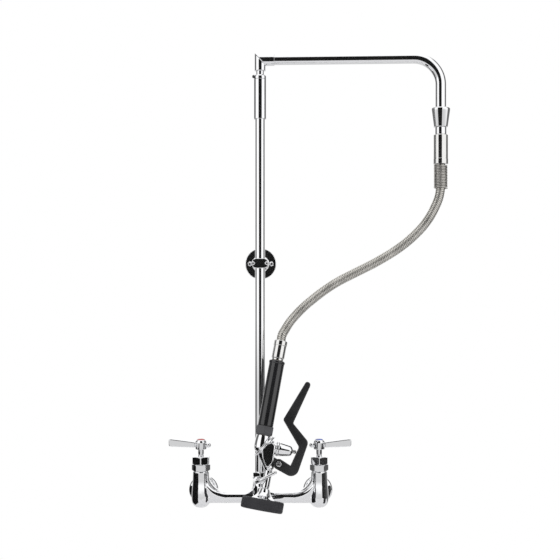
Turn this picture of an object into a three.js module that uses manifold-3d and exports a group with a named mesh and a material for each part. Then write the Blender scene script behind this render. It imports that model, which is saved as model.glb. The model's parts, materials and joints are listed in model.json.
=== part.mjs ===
// A wall-mounted pre-rinse faucet: a two-valve mixer body, a riser with a wall bracket, an overhead
// swing arm, a flexible hose and a squeeze spray valve that hangs on a finger hook.
// Millimetres. X to the right, Y into the wall, Z up. The origin is on the wall, midway between the
// two inlets, and the axis of the bridge is at Z = 0.
import * as THREE from 'three';
import { mergeVertices } from 'three/addons/utils/BufferGeometryUtils.js';
import Module from 'manifold-3d';

const wasm = await Module();
wasm.setup();

// Driving dimensions
const valveCentres = 203.2; // hot valve to cold valve
const wallGap = 65; // wall to the plane of the valves and the riser
const armHeight = 752.5; // axis of the overhead arm
const armReach = 308.7; // riser axis to the arm's down leg
const armRest = -3; // degrees that the arm stands out from the wall's parallel
const armBend = 46; // centreline radius of the arm's bend
const armTube = { outer: 9.5, inner: 7.6 };
const riserTube = { outer: 8.55, inner: 6.3 };
const riserTop = armHeight - 62.8;
const bracketHeight = 402;
const bridge = { radius: 10, bore: 6 };
const barrel = { radius: 13.9, bore: 10.2, floor: 5, shoulder: -2, bottom: -17.4, top: 45.6 };
const inlet = { radius: 10.5, bore: 7 };
const boss = { radius: 13.5, neck: 12, top: 32.3, seat: 12.2 };
const elbowRadius = 44; // centreline of the sweep from each barrel into the bridge
const bonnetNut = { flats: 28, height: 11 };
const packingNut = { flats: 28.4, height: 13.3 };
const stemRadius = 5;
const handle = { hub: 9.5, base: 82.4, top: 99.3, length: 55 };
const hoseRadius = 8;
const valveTilt = 10.5; // degrees that the hanging spray valve leans to the right
const valveLean = 11; // degrees that it leans back towards the riser
const valveCentre = { x: 3.7, forward: 44.5, z: 95.2 }; // where its grip and bonnet axes cross
const gripRadius = 13;
const gripTop = 145.7; // along the valve's own axis
const collar = { flats: 28, low: 18, high: 33 };
const coreTube = { outer: 8.7, inner: 5.5 };
const bodyRadius = 13;
const bonnetRadius = 13;
const plungerRadius = 3;
const plungerTip = 58.9; // along the bonnet's axis
const outletOffset = 18.5; // outlet axis to grip axis
const neckRadius = 6.6;
const bumper = { outer: 35.4, inner: 21.4, top: -85.5, bottom: -104.5 };
const leverPivot = { x: 33.3, z: -25 };
const leverDepth = 14;
const lugDepth = 6;
const ringRadius = 21.2;
const ringWire = 1.9;
const ringTilt = 53.8; // degrees from the bonnet's axis
const hookBar = 2.75;

// Clearances
const gap = 0.3; // between faces that rest on each other
const fitGap = 0.3; // round a piece that sits in a bore

// The free hose's centreline, from the upper ferrule down to the valve: each row is the share of the
// way in X from the valve's end (0) to the arm's end (1), how far it bows towards the wall, and the
// share of the way in Z
const hoseCourse = [
  [1, 0, 1],
  [1, -0.4, 0.9379],
  [0.9994, -0.8, 0.8715],
  [0.9886, -0.8, 0.8118],
  [0.9655, -0.5, 0.7589],
  [0.9351, 0, 0.7061],
  [0.8957, 0.9, 0.655],
  [0.8473, 2.1, 0.6072],
  [0.7916, 3.5, 0.561],
  [0.7284, 5.1, 0.5179],
  [0.6593, 6.9, 0.478],
  [0.5861, 8.6, 0.4396],
  [0.5087, 10.3, 0.4043],
  [0.4308, 11.6, 0.3688],
  [0.3523, 12.6, 0.3314],
  [0.2772, 13.1, 0.2871],
  [0.2092, 13, 0.2408],
  [0.1466, 12.3, 0.1929],
  [0.0922, 11, 0.1432],
  [0.0542, 9.6, 0.1022],
  [0.0275, 8.1, 0.0637],
];

const halfCentres = valveCentres / 2;
const degree = Math.PI / 180;

// ---- Shape helpers ----

function lathe(profile, sides = 14) {
  const points = profile.map(([radius, height]) => new THREE.Vector2(radius, height));
  return new THREE.LatheGeometry(points, sides).rotateX(Math.PI / 2);
}

function rod(radius, low, high, sides) {
  return lathe([[0, low], [radius, low], [radius, high], [0, high]], sides);
}

function tube(outer, inner, low, high, sides) {
  return lathe([[inner, low], [outer, low], [outer, high], [inner, high], [inner, low]], sides);
}

function roundedRing(outer, inner, low, high, round, sides) {
  const profile = [
    [inner, low],
    [outer - round, low],
    [outer - 0.3 * round, low + 0.3 * round],
    [outer, low + round],
    [outer, high - round],
    [outer - 0.3 * round, high - 0.3 * round],
    [outer - round, high],
    [inner, high],
    [inner, low],
  ];
  return lathe(profile, sides);
}

function torus(radius, section, height, sides = 16, around = 6) {
  const profile = [];
  for (let i = 0; i <= around; i += 1) {
    const angle = (i / around) * 2 * Math.PI;
    profile.push([radius + section * Math.cos(angle), height + section * Math.sin(angle)]);
  }
  return lathe(profile, sides);
}

function ball(radius, x, y, z, sides = 12) {
  return new THREE.SphereGeometry(radius, sides, sides / 2).translate(x, y, z);
}

function alongX(geometry) {
  return geometry.rotateY(Math.PI / 2);
}

function alongY(geometry) {
  return geometry.rotateX(-Math.PI / 2);
}

function box(low, high) {
  const size = high.map((value, i) => value - low[i]);
  const middle = high.map((value, i) => (value + low[i]) / 2);
  return new THREE.BoxGeometry(...size).translate(...middle);
}

// A hexagon prism whose corners are turned off at both ends
function hexagon(flats, low, high, turn = 0) {
  const corner = flats / Math.sqrt(3);
  const outline = new THREE.Shape();
  for (let i = 0; i < 6; i += 1) {
    const angle = turn + (i * Math.PI) / 3;
    const point = [corner * Math.cos(angle), corner * Math.sin(angle)];
    if (i === 0) outline.moveTo(...point);
    else outline.lineTo(...point);
  }
  const prism = new THREE.ExtrudeGeometry(outline, { depth: high - low, bevelEnabled: false });
  const cut = 0.58 * (corner - flats / 2);
  const turned = lathe([
    [0, low],
    [flats / 2, low],
    [corner + 0.1, low + cut],
    [corner + 0.1, high - cut],
    [flats / 2, high],
    [0, high],
  ]);
  return solid(prism.translate(0, 0, low)).intersect(solid(turned));
}

// A path whose steps fall exactly on its stations
class StationPath extends THREE.Curve {
  constructor(stations) {
    super();
    this.stations = stations;
  }

  getPoint(t, target = new THREE.Vector3()) {
    const last = this.stations.length - 1;
    const place = t * last;
    const index = Math.min(Math.floor(place), last - 1);
    return target.copy(this.stations[index]).lerp(this.stations[index + 1], place - index);
  }

  getUtoTmapping(u) {
    return u;
  }
}

function sweep(stations, radius, sides = 16) {
  const section = new THREE.Shape();
  for (let i = 0; i < sides; i += 1) {
    const angle = (i * 2 * Math.PI) / sides;
    const point = [radius * Math.cos(angle), radius * Math.sin(angle)];
    if (i === 0) section.moveTo(...point);
    else section.lineTo(...point);
  }
  const settings = {
    steps: stations.length - 1,
    extrudePath: new StationPath(stations),
    bevelEnabled: false,
  };
  return new THREE.ExtrudeGeometry(section, settings);
}

function spline(points, steps) {
  const curve = new THREE.CatmullRomCurve3(points.map((point) => new THREE.Vector3(...point)));
  return curve.getSpacedPoints(steps);
}

// A flat outline in X and Z, given depth along Y about the plane Y = 0
function plate(outline, depth, bevel = 0) {
  const settings = {
    depth: depth - 2 * bevel,
    bevelEnabled: bevel > 0,
    bevelThickness: bevel,
    bevelSize: bevel,
    bevelOffset: -bevel,
    bevelSegments: 1,
    curveSegments: 4,
  };
  const geometry = new THREE.ExtrudeGeometry(outline, settings);
  return geometry.translate(0, 0, bevel - depth / 2).rotateX(Math.PI / 2);
}

// ---- Solids ----

// A closed geometry as a manifold solid with its faces pointing out
function solid(geometry) {
  if (geometry instanceof wasm.Manifold) return geometry;
  const bare = geometry.clone();
  bare.deleteAttribute('normal');
  bare.deleteAttribute('uv');
  const merged = mergeVertices(bare, 1e-4);
  const position = merged.attributes.position;
  const corners = merged.index.array;
  const a = new THREE.Vector3();
  const b = new THREE.Vector3();
  const c = new THREE.Vector3();
  const triangles = [];
  let volume = 0;
  for (let i = 0; i < corners.length; i += 3) {
    const [p, q, r] = [corners[i], corners[i + 1], corners[i + 2]];
    if (p === q || q === r || r === p) continue;
    a.fromBufferAttribute(position, p);
    b.fromBufferAttribute(position, q);
    c.fromBufferAttribute(position, r);
    volume += a.dot(b.cross(c));
    triangles.push(p, q, r);
  }
  if (volume < 0) triangles.reverse();
  const mesh = new wasm.Mesh({
    numProp: 3,
    vertProperties: Float32Array.from(position.array),
    triVerts: Uint32Array.from(triangles),
  });
  return new wasm.Manifold(mesh);
}

function join(first, ...others) {
  return others.reduce((whole, other) => whole.add(solid(other)), solid(first));
}

function cut(first, ...tools) {
  return tools.reduce((whole, tool) => whole.subtract(solid(tool)), solid(first));
}

function shown(manifold) {
  const mesh = solid(manifold).getMesh();
  const geometry = new THREE.BufferGeometry();
  geometry.setAttribute('position', new THREE.BufferAttribute(mesh.vertProperties, 3));
  geometry.setIndex(new THREE.BufferAttribute(mesh.triVerts, 1));
  geometry.computeVertexNormals();
  return geometry;
}

function finish(color, roughness, metalness) {
  return new THREE.MeshStandardMaterial({ color, roughness, metalness });
}

const finishes = {
  chrome: () => finish('#d9dadd', 0.08, 1),
  steel: () => finish('#b9b4a8', 0.3, 1),
  brass: () => finish('#b08d4a', 0.35, 1),
  blackPlastic: () => finish('#1f2023', 0.4, 0),
  greyPlastic: () => finish('#505154', 0.6, 0),
  leverCoat: () => finish('#27282a', 0.5, 0),
  rubber: () => finish('#34353a', 0.85, 0),
  hotMark: () => finish('#b02a2a', 0.4, 0),
  coldMark: () => finish('#2a4ea0', 0.4, 0),
};

function addPiece(group, name, shape, look) {
  const piece = new THREE.Mesh(shown(shape), finishes[look]());
  piece.name = name;
  group.add(piece);
  return piece;
}

// ---- Mixer body, in a group at the height of the bridge and in the plane of the riser ----

function barrelProfile() {
  return [
    [0, barrel.bottom],
    [7, barrel.bottom + 0.4],
    [12, barrel.bottom + 3.2],
    [barrel.radius + 1.6, barrel.bottom + 8.6],
    [barrel.radius + 2.5, barrel.shoulder],
    [barrel.radius + 1.8, barrel.shoulder + 14],
    [barrel.radius + 0.6, barrel.shoulder + 28],
    [barrel.radius, barrel.top - 1],
    [barrel.radius - 1, barrel.top],
    [0, barrel.top],
  ];
}

function elbowStations(side) {
  const stations = [];
  const steps = 7;
  for (let i = 0; i <= steps; i += 1) {
    const angle = (-i / steps) * (Math.PI / 2);
    const x = halfCentres - elbowRadius + elbowRadius * Math.cos(angle);
    const z = elbowRadius + elbowRadius * Math.sin(angle);
    stations.push(new THREE.Vector3(side * x, 0, z));
  }
  return stations;
}

function bossWeb() {
  const foot = 24;
  const shoulder = 9.2;
  const crown = 20;
  const outline = new THREE.Shape();
  outline.moveTo(-foot, 0);
  outline.lineTo(-foot, shoulder);
  outline.quadraticCurveTo(-boss.radius, shoulder, -boss.neck, crown);
  outline.lineTo(boss.neck, crown);
  outline.quadraticCurveTo(boss.radius, shoulder, foot, shoulder);
  outline.lineTo(foot, 0);
  outline.closePath();
  return plate(outline, 16, 2);
}

function faucetBody() {
  let body = join(
    alongX(rod(bridge.radius, -halfCentres, halfCentres, 20)),
    lathe([
      [0, -13],
      [8, -12],
      [12.5, -6],
      [boss.radius, 2],
      [boss.radius, 14],
      [boss.neck + 0.8, 21],
      [boss.neck, 26],
      [boss.neck, boss.top],
      [0, boss.top],
    ]),
    bossWeb(),
  );
  for (const side of [-1, 1]) {
    const x = side * halfCentres;
    body = join(
      body,
      lathe(barrelProfile()).translate(x, 0, 0),
      sweep(elbowStations(side), bridge.radius + 0.4),
      alongY(rod(inlet.radius, 0, wallGap - 1)).translate(x, 0, 0),
    );
  }
  body = cut(
    body,
    alongX(rod(bridge.bore, -halfCentres, halfCentres, 16)),
    rod(riserTube.outer + fitGap, boss.seat, boss.top + 1),
    rod(bridge.bore, 0, boss.seat + 1, 16),
  );
  for (const side of [-1, 1]) {
    const x = side * halfCentres;
    body = cut(
      body,
      rod(barrel.bore, barrel.floor, barrel.top + 1).translate(x, 0, 0),
      rod(inlet.bore, 0, barrel.floor + 1, 16).translate(x, 0, 0),
      alongY(rod(inlet.bore, 0, wallGap, 16)).translate(x, 0, 0),
    );
  }
  return body;
}

function wallFlange() {
  const bore = inlet.radius + fitGap;
  const profile = [
    [bore, 0],
    [26, 0],
    [26, -2],
    [24, -4.5],
    [19.5, -7],
    [14.5, -8.6],
    [13.6, -12.5],
    [bore, -12.5],
    [bore, 0],
  ];
  return alongY(lathe(profile, 28));
}

// ---- Valves: heights are above the bridge axis ----

const cartridgeTop = 39.7;
const bonnetFoot = barrel.top + gap;
const bonnetTop = bonnetFoot + bonnetNut.height;
const packingFoot = bonnetTop + gap;
const packingTop = packingFoot + packingNut.height;
const stemFoot = 16;
const stemTop = 90.5;
const stemBore = stemRadius + fitGap;

function cartridge() {
  const floor = barrel.floor + gap;
  const profile = [
    [3.2, floor],
    [barrel.bore - fitGap, floor],
    [barrel.bore - fitGap, cartridgeTop],
    [stemBore, cartridgeTop],
    [stemBore, stemFoot - gap],
    [3.2, stemFoot - gap],
    [3.2, floor],
  ];
  return lathe(profile, 16);
}

function bonnetNutShape() {
  return cut(
    join(
      hexagon(bonnetNut.flats, bonnetFoot, bonnetTop),
      rod(barrel.bore - fitGap, cartridgeTop + gap, bonnetFoot + 1),
    ),
    rod(stemBore, cartridgeTop, bonnetTop + 1),
  );
}

function packingNutShape() {
  return cut(
    hexagon(packingNut.flats, packingFoot, packingTop, Math.PI / 6),
    rod(stemBore, packingFoot - 1, packingTop + 1),
  );
}

function stem() {
  return cut(rod(stemRadius, stemFoot, stemTop), rod(2.3, stemTop - 11, stemTop + 1, 10));
}

// ---- Lever handle, pointing along +X from its hub ----

const screwSeat = stemTop + gap;
const indexSeat = 94.6;
const paddleHeight = 91.5;

function hubShape() {
  return lathe([
    [0, handle.base],
    [handle.hub - 1, handle.base],
    [handle.hub, handle.base + 1],
    [handle.hub, handle.top - 4],
    [handle.hub - 0.8, handle.top - 1.6],
    [handle.hub - 2.2, handle.top - 0.4],
    [0, handle.top - 0.4],
  ]);
}

function paddle() {
  const inner = handle.hub + 0.6;
  const end = handle.length;
  const outline = new THREE.Shape();
  outline.moveTo(inner, paddleHeight - 5.4);
  outline.lineTo(end - 4, paddleHeight - 3.8);
  outline.quadraticCurveTo(end, paddleHeight - 3.6, end, paddleHeight + 0.4);
  outline.lineTo(end, paddleHeight + 5.8);
  outline.quadraticCurveTo(end, paddleHeight + 9.6, end - 4, paddleHeight + 9.3);
  outline.quadraticCurveTo(32, paddleHeight + 7, inner, paddleHeight + 3.8);
  outline.closePath();
  return plate(outline, 15, 1.6);
}

function leverHandle() {
  const neck = alongX(rod(4.4, 6, 15, 12)).translate(0, 0, paddleHeight);
  const stubNeck = alongX(rod(3, -13, -6, 12)).translate(0, 0, paddleHeight - 2);
  return cut(
    join(hubShape(), neck, paddle(), stubNeck, ball(4.6, -12.6, 0, paddleHeight - 2)),
    rod(stemRadius + fitGap, handle.base - 1, screwSeat),
    rod(2.4, handle.base, indexSeat, 12),
    rod(4.5, screwSeat + 0.8, indexSeat),
    rod(7, indexSeat, handle.top + 1, 16),
  );
}

function handleScrew() {
  const seat = screwSeat + 0.8 + gap;
  return join(rod(4.1, seat, indexSeat - gap, 16), rod(2, stemTop - 10, seat + 0.5, 12));
}

function indexCap() {
  const low = indexSeat + gap;
  return lathe(
    [
      [0, low],
      [6.7, low],
      [6.7, handle.top - 0.4],
      [5.4, handle.top + 0.4],
      [3, handle.top + 0.8],
      [0, handle.top + 0.9],
    ],
    16,
  );
}

// ---- Riser, its nut and the finger hook ----

const riserFoot = 15.2;
const hookPlate = { low: boss.top + gap, high: boss.top + 3 };
const couplingNut = { flats: 23.5, low: hookPlate.high + gap, high: 44 };
const riserBore = riserTube.outer + fitGap;

function riserWasher() {
  return tube(riserTube.outer, riserTube.inner, boss.seat + gap, riserFoot - gap);
}

function fingerHook() {
  const barStart = 18.5;
  const level = (hookPlate.low + hookPlate.high) / 2;
  const path = [
    [-7, -barStart + 1.5, level],
    [-8.4, -barStart - 8, level],
    [-8.4, -42, level + 0.3],
    [-6.6, -56, level + 2.6],
    [0.5, -65.8, level + 7],
    [9, -67.6, level + 11.6],
    [18, -67.4, level + 16.2],
    [26.5, -66.8, level + 20.2],
  ];
  const tip = path[path.length - 1];
  return cut(
    join(
      rod(13, hookPlate.low, hookPlate.high),
      box([-10, -barStart, hookPlate.low], [-4, 0, hookPlate.high]),
      sweep(spline(path, 20), hookBar, 10),
      ball(hookBar, ...tip, 10),
    ),
    rod(riserBore, hookPlate.low - 1, hookPlate.high + 1),
  );
}

// ---- Wall bracket, in a group on the riser axis at the bracket's height ----

const clampScrewAt = riserBore + 2.75;
const clampSize = {
  width: 2 * clampScrewAt + 5.8,
  height: 17,
  front: -riserBore - 5.15,
  rear: riserBore + 6.15,
};
const wallScrewAt = 19;
const rodBore = 5.8;
const rodSocket = 4.5;
const screwHole = clampSize.rear - 2.5; // depth of the clamp screws' holes
const bracketDish = 5;

function bracketFlange() {
  const dish = lathe(
    [
      [0, 0],
      [27.5, 0],
      [27.5, -2.5],
      [25.5, -bracketDish],
      [12.5, -8.4],
      [9.6, -10],
      [9.6, -17],
      [0, -17],
    ],
    28,
  );
  let flange = cut(dish, rod(rodBore, -18, -6, 16));
  for (const x of [-wallScrewAt, wallScrewAt]) {
    flange = cut(
      flange,
      rod(2.3, -9, 1, 12).translate(x, 0, 0),
      rod(4.6, -9, -4.4, 16).translate(x, 0, 0),
    );
  }
  return alongY(shown(flange)).translate(0, wallGap, 0);
}

function wallScrew(x) {
  const profile = [
    [0, -8],
    [2.6, -7.8],
    [4.2, -6.4],
    [4.2, -4.7],
    [2, -4.7],
    [2, -gap],
    [0, -gap],
  ];
  return alongY(lathe(profile, 16)).translate(x, wallGap, 0);
}

function clampHalf(low, high) {
  const round = clampSize.height / 2;
  const reach = clampSize.width / 2 - round;
  const outline = new THREE.Shape();
  outline.absarc(reach, 0, round, -Math.PI / 2, Math.PI / 2);
  outline.absarc(-reach, 0, round, Math.PI / 2, 1.5 * Math.PI);
  const bevel = 1;
  const settings = {
    depth: high - low - 2 * bevel,
    bevelThickness: bevel,
    bevelSize: bevel,
    bevelOffset: -bevel,
    bevelSegments: 1,
    curveSegments: 6,
  };
  const block = new THREE.ExtrudeGeometry(outline, settings).translate(0, 0, low + bevel);
  let half = cut(alongY(block), rod(riserBore, -round - 1, round + 1));
  for (const x of [-clampScrewAt, clampScrewAt]) {
    half = cut(half, alongY(rod(2, clampSize.front - 1, screwHole, 12)).translate(x, 0, 0));
  }
  return half;
}

function rearClamp() {
  const socket = rod(rodBore, clampSize.rear - rodSocket, clampSize.rear + 1, 16);
  return cut(clampHalf(gap, clampSize.rear), alongY(socket));
}

function bracketRod() {
  return alongY(rod(rodBore - fitGap, clampSize.rear - rodSocket + gap, wallGap - 6 - gap, 16));
}

function clampScrew(x) {
  const seat = clampSize.front - gap;
  const profile = [
    [0, seat - 2.4],
    [1.8, seat - 2.2],
    [3, seat - 1],
    [3, seat],
    [1.7, seat],
    [1.7, screwHole - 0.5],
    [0, screwHole - 0.5],
  ];
  return alongY(lathe(profile, 16)).translate(x, 0, 0);
}

// ---- Swivel and overhead arm, in a group on the riser axis ----

const swivelBore = 9;
const shelf = { low: riserTop + gap, high: riserTop + 3.5 };
const sleeve = { radius: riserTube.outer + 2.45, foot: riserTop - 39.7, top: riserTop + 28.8 };
const capTop = sleeve.top + 7.5;
const spigot = { radius: 8.6, foot: shelf.high + 0.7, shoulder: sleeve.top - 0.9, neck: 6.9 };
const oRingHeights = { lower: riserTop + 11.3, upper: riserTop + 21.3 };
const groove = { radius: 7.1, half: 1.1 };
const elbowLegs = {
  vertical: 9.75,
  horizontal: armTube.outer + 1.35,
  foot: capTop + 7,
  reach: 25,
};
const coneNut = { top: armHeight - 85.3, foot: armHeight - 118.5 };
const nippleFoot = coneNut.foot - 12.5;
const ferruleFoot = nippleFoot - 50.5;
const guardFoot = ferruleFoot - 42.4;

function swivelSleeve() {
  return lathe([
    [sleeve.radius, sleeve.foot],
    [sleeve.radius, sleeve.top],
    [swivelBore, sleeve.top],
    [swivelBore, shelf.high],
    [riserTube.inner, shelf.high],
    [riserTube.inner, shelf.low],
    [riserBore, shelf.low],
    [riserBore, sleeve.foot],
    [sleeve.radius, sleeve.foot],
  ]);
}

function setScrewTurn(shape) {
  return shape.rotateZ(-0.86 * Math.PI).translate(0, 0, (sleeve.top + capTop) / 2 + 0.2);
}

function swivelCap() {
  const low = sleeve.top + gap;
  const bore = spigot.neck + fitGap;
  const profile = [
    [bore, low],
    [sleeve.radius, low],
    [sleeve.radius, capTop - 2.2],
    [sleeve.radius - 1.6, capTop],
    [bore, capTop],
    [bore, low],
  ];
  return cut(lathe(profile), setScrewTurn(alongX(rod(2, 6, sleeve.radius + 1, 12))));
}

function setScrew() {
  const seat = sleeve.radius + gap;
  const head = lathe([
    [0, seat],
    [2.7, seat],
    [2.7, seat + 2],
    [1.8, seat + 2.8],
    [0, seat + 2.8],
  ]);
  const screw = join(rod(1.7, spigot.neck + 0.7, seat + 0.5, 12), head);
  return setScrewTurn(alongX(shown(screw)));
}

function elbow() {
  const mitre = Math.atan2(elbowLegs.horizontal, elbowLegs.vertical);
  const halfSpace = () => new THREE.BoxGeometry(90, 90, 90);
  const lap = 0.2; // the two legs overlap this much, so that they join into one casting
  const below = halfSpace().translate(0, 0, lap - 45).rotateY(mitre).translate(0, 0, armHeight);
  const above = halfSpace().translate(0, 0, 45).rotateY(mitre).translate(0, 0, armHeight);
  const upright = solid(rod(elbowLegs.vertical, elbowLegs.foot, armHeight + 15)).intersect(solid(below));
  const level = solid(alongX(rod(elbowLegs.horizontal, -15, elbowLegs.reach)).translate(0, 0, armHeight));
  const spigotShape = lathe([
    [0, spigot.foot],
    [spigot.radius, spigot.foot],
    [spigot.radius, oRingHeights.lower - groove.half],
    [groove.radius, oRingHeights.lower - groove.half],
    [groove.radius, oRingHeights.lower + groove.half],
    [spigot.radius, oRingHeights.lower + groove.half],
    [spigot.radius, oRingHeights.upper - groove.half],
    [groove.radius, oRingHeights.upper - groove.half],
    [groove.radius, oRingHeights.upper + groove.half],
    [spigot.radius, oRingHeights.upper + groove.half],
    [spigot.radius, spigot.shoulder],
    [spigot.neck, spigot.shoulder],
    [spigot.neck, elbowLegs.foot + 1],
    [0, elbowLegs.foot + 1],
  ]);
  return cut(
    join(spigotShape, upright, level.intersect(solid(above))),
    rod(4.6, spigot.foot - 1, armHeight, 16),
    alongX(rod(4.6, 0, 20, 16)).translate(0, 0, armHeight),
    alongX(rod(armTube.outer + fitGap, 12.5, elbowLegs.reach + 1)).translate(0, 0, armHeight),
  );
}

function armShape(radius, start, end) {
  const bendStart = armReach - armBend;
  const bendFoot = armHeight - armBend;
  const stations = [];
  const steps = 8;
  for (let i = 0; i <= steps; i += 1) {
    const angle = (1 - i / steps) * (Math.PI / 2);
    const x = bendStart + armBend * Math.cos(angle);
    const z = bendFoot + armBend * Math.sin(angle);
    stations.push(new THREE.Vector3(x, 0, z));
  }
  stations.unshift(new THREE.Vector3(start, 0, armHeight));
  stations.push(new THREE.Vector3(armReach, 0, end));
  return sweep(stations, radius, 16);
}

const armStart = 13;
const armEnd = coneNut.foot + 14;

function overheadArm() {
  return cut(
    armShape(armTube.outer, armStart, armEnd),
    armShape(armTube.inner, armStart - 1, armEnd - 1),
  );
}

function coneNutShape() {
  const bore = armTube.outer + fitGap;
  const throat = 6.8;
  const profile = [
    [bore, coneNut.top],
    [bore + 4, coneNut.top],
    [bore + 6.2, coneNut.top - 0.8],
    [bore + 6.9, coneNut.top - 2.4],
    [bore + 6.6, coneNut.top - 5],
    [bore + 2.6, coneNut.foot + 0.6],
    [bore + 2, coneNut.foot],
    [throat, coneNut.foot],
    [throat, coneNut.foot + 5],
    [bore, coneNut.foot + 5],
    [bore, coneNut.top],
  ];
  return lathe(profile, 24);
}

function hoseWasher() {
  return tube(armTube.outer - 0.2, 6.9, armEnd - 3, armEnd - gap);
}

function hoseNipple() {
  const high = coneNut.foot - gap;
  const profile = [
    [4.6, nippleFoot],
    [10, nippleFoot],
    [10, high],
    [6.4, high],
    [6.4, armEnd - 4],
    [4.6, armEnd - 4],
    [4.6, nippleFoot],
  ];
  return lathe(profile, 16);
}

function upperFerrule() {
  const high = nippleFoot - gap;
  const profile = [
    [5, ferruleFoot],
    [12.9, ferruleFoot],
    [13, ferruleFoot + 1],
    [13, ferruleFoot + 9],
    [12.7, ferruleFoot + 9.6],
    [12.7, high - 1],
    [11.7, high],
    [5, high],
    [5, ferruleFoot],
  ];
  return lathe(profile, 20);
}

function springGuard() {
  const turns = 7;
  const low = guardFoot;
  const high = ferruleFoot - gap;
  const pitch = (high - low) / turns;
  const bore = hoseRadius + 0.9;
  const profile = [[bore, low]];
  for (let i = 0; i < turns; i += 1) {
    profile.push([10.9, low + i * pitch], [11.8, low + (i + 0.5) * pitch]);
  }
  profile.push([10.9, high], [bore, high], [bore, low]);
  return lathe(profile, 16);
}

// ---- Spray valve: Z runs up the grip, X out along the bonnet, Y towards the wall ----

const ferruleLow = gripTop + 0.5;
const ferruleHigh = ferruleLow + 34.2;
const coreFoot = 8;
const coreTop = ferruleLow + 11.5;
const socketRadius = coreTube.outer + fitGap;
const throatRadius = socketRadius + 2.8;
const bonnetFootAt = 24.7;
const outletFoot = -68;

function slanted(radiusFrom, from, radiusTo, to) {
  const start = new THREE.Vector3(...from);
  const run = new THREE.Vector3(...to).sub(start);
  const cone = lathe([[0, 0], [radiusFrom, 0], [radiusTo, run.length()], [0, run.length()]], 16);
  const turn = new THREE.Quaternion().setFromUnitVectors(new THREE.Vector3(0, 0, 1), run.normalize());
  return cone.applyQuaternion(turn).translate(...from);
}

function pivotLug() {
  const outline = new THREE.Shape();
  outline.moveTo(14, -10);
  outline.lineTo(15, -30);
  outline.lineTo(leverPivot.x - 1.5, leverPivot.z - 6.8);
  outline.absarc(leverPivot.x, leverPivot.z, 7, -1.8, 1.6);
  outline.lineTo(24.2, -14.5);
  outline.lineTo(21, -10);
  outline.closePath();
  return plate(outline, lugDepth);
}

// The flat-faced cheek between the upright, the bonnet's socket and the outlet
function cheek() {
  const outline = new THREE.Shape();
  outline.moveTo(-1, 3);
  outline.lineTo(4.4, -19.7);
  outline.lineTo(13, -33.5);
  outline.lineTo(17.5, -33.5);
  outline.lineTo(23, -23.5);
  outline.lineTo(22, 4);
  outline.lineTo(16, 8);
  outline.closePath();
  return plate(outline, 2 * bodyRadius - 1, 2);
}

function valveBody() {
  const upright = lathe([
    [0, -13.5],
    [5.5, -12.6],
    [9.5, -10],
    [12, -6],
    [bodyRadius, 0],
    [bodyRadius, 8],
    [throatRadius + 0.6, 14],
    [throatRadius, collar.low - gap],
    [0, collar.low - gap],
  ]);
  return cut(
    join(
      upright,
      alongX(rod(throatRadius, 0, bonnetFootAt)),
      slanted(12, [2, 0, -4], 8.2, [outletOffset - 0.6, 0, -33]),
      ball(8.2, outletOffset - 0.4, 0, -33, 16),
      rod(neckRadius, outletFoot, -30, 16).translate(outletOffset, 0, 0),
      pivotLug(),
      cheek(),
    ),
    rod(socketRadius, coreFoot - gap, collar.low + 1),
    rod(5.2, 0, coreFoot, 12),
    alongX(rod(8, -3, bonnetFootAt + 1)),
    rod(3.8, outletFoot - 1, 0, 14).translate(outletOffset, 0, 0),
    alongY(rod(2.5, -10, 10, 14)).translate(leverPivot.x, 0, leverPivot.z),
  );
}

function gripShape() {
  const low = collar.high + gap;
  const bore = coreTube.outer + fitGap;
  const profile = [
    [bore, low],
    [gripRadius - 0.4, low],
    [gripRadius, low + 1],
    [gripRadius - 0.2, gripTop - 5.5],
    [gripRadius + 0.6, gripTop - 4],
    [gripRadius + 0.6, gripTop - 1.6],
    [gripRadius - 1.4, gripTop],
    [bore, gripTop],
    [bore, low],
  ];
  return lathe(profile, 24);
}

function collarShape() {
  const hex = hexagon(collar.flats, collar.low, collar.high, Math.PI / 6);
  const taper = lathe([
    [0, collar.low],
    [12.6, collar.low],
    [16.5, collar.low + 4],
    [16.5, collar.high],
    [0, collar.high],
  ]);
  return cut(hex.intersect(solid(taper)), rod(socketRadius, collar.low - 1, collar.high + 1));
}

function coreTubeShape() {
  return tube(coreTube.outer, coreTube.inner, coreFoot, coreTop);
}

function lowerFerrule() {
  const shell = socketRadius + 2;
  const profile = [
    [socketRadius, ferruleLow],
    [shell - 1.2, ferruleLow],
    [shell - 1.2, ferruleLow + 3],
    [shell, ferruleLow + 4],
    [shell + 0.1, ferruleHigh - 9],
    [shell + 0.6, ferruleHigh - 8],
    [shell + 0.6, ferruleHigh - 0.8],
    [shell - 0.2, ferruleHigh],
    [5, ferruleHigh],
    [5, coreTop + gap],
    [socketRadius, coreTop + gap],
    [socketRadius, ferruleLow],
  ];
  return lathe(profile, 20);
}

function bonnetShape() {
  const low = bonnetFootAt + gap;
  const profile = [
    [7, low],
    [bonnetRadius - 0.6, low],
    [bonnetRadius, low + 0.6],
    [bonnetRadius, low + 3.4],
    [11.6, low + 4.4],
    [11.9, low + 6],
    [8.8, 48.2],
    [7.6, 50.2],
    [5.2, 52],
    [plungerRadius + fitGap, 52],
    [plungerRadius + fitGap, 45],
    [7, 43],
    [7, low],
  ];
  return alongX(lathe(profile, 22));
}

function plunger() {
  const profile = [
    [0, 2.4],
    [plungerRadius, 2.4],
    [plungerRadius, 31],
    [6.4, 31],
    [6.4, 33],
    [plungerRadius, 33],
    [plungerRadius, plungerTip - 1.6],
    [plungerRadius - 1.2, plungerTip - 0.3],
    [0, plungerTip],
  ];
  return alongX(lathe(profile));
}

function seatWasher() {
  return alongX(tube(6.6, plungerRadius + fitGap, 4, 7.2));
}

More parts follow.
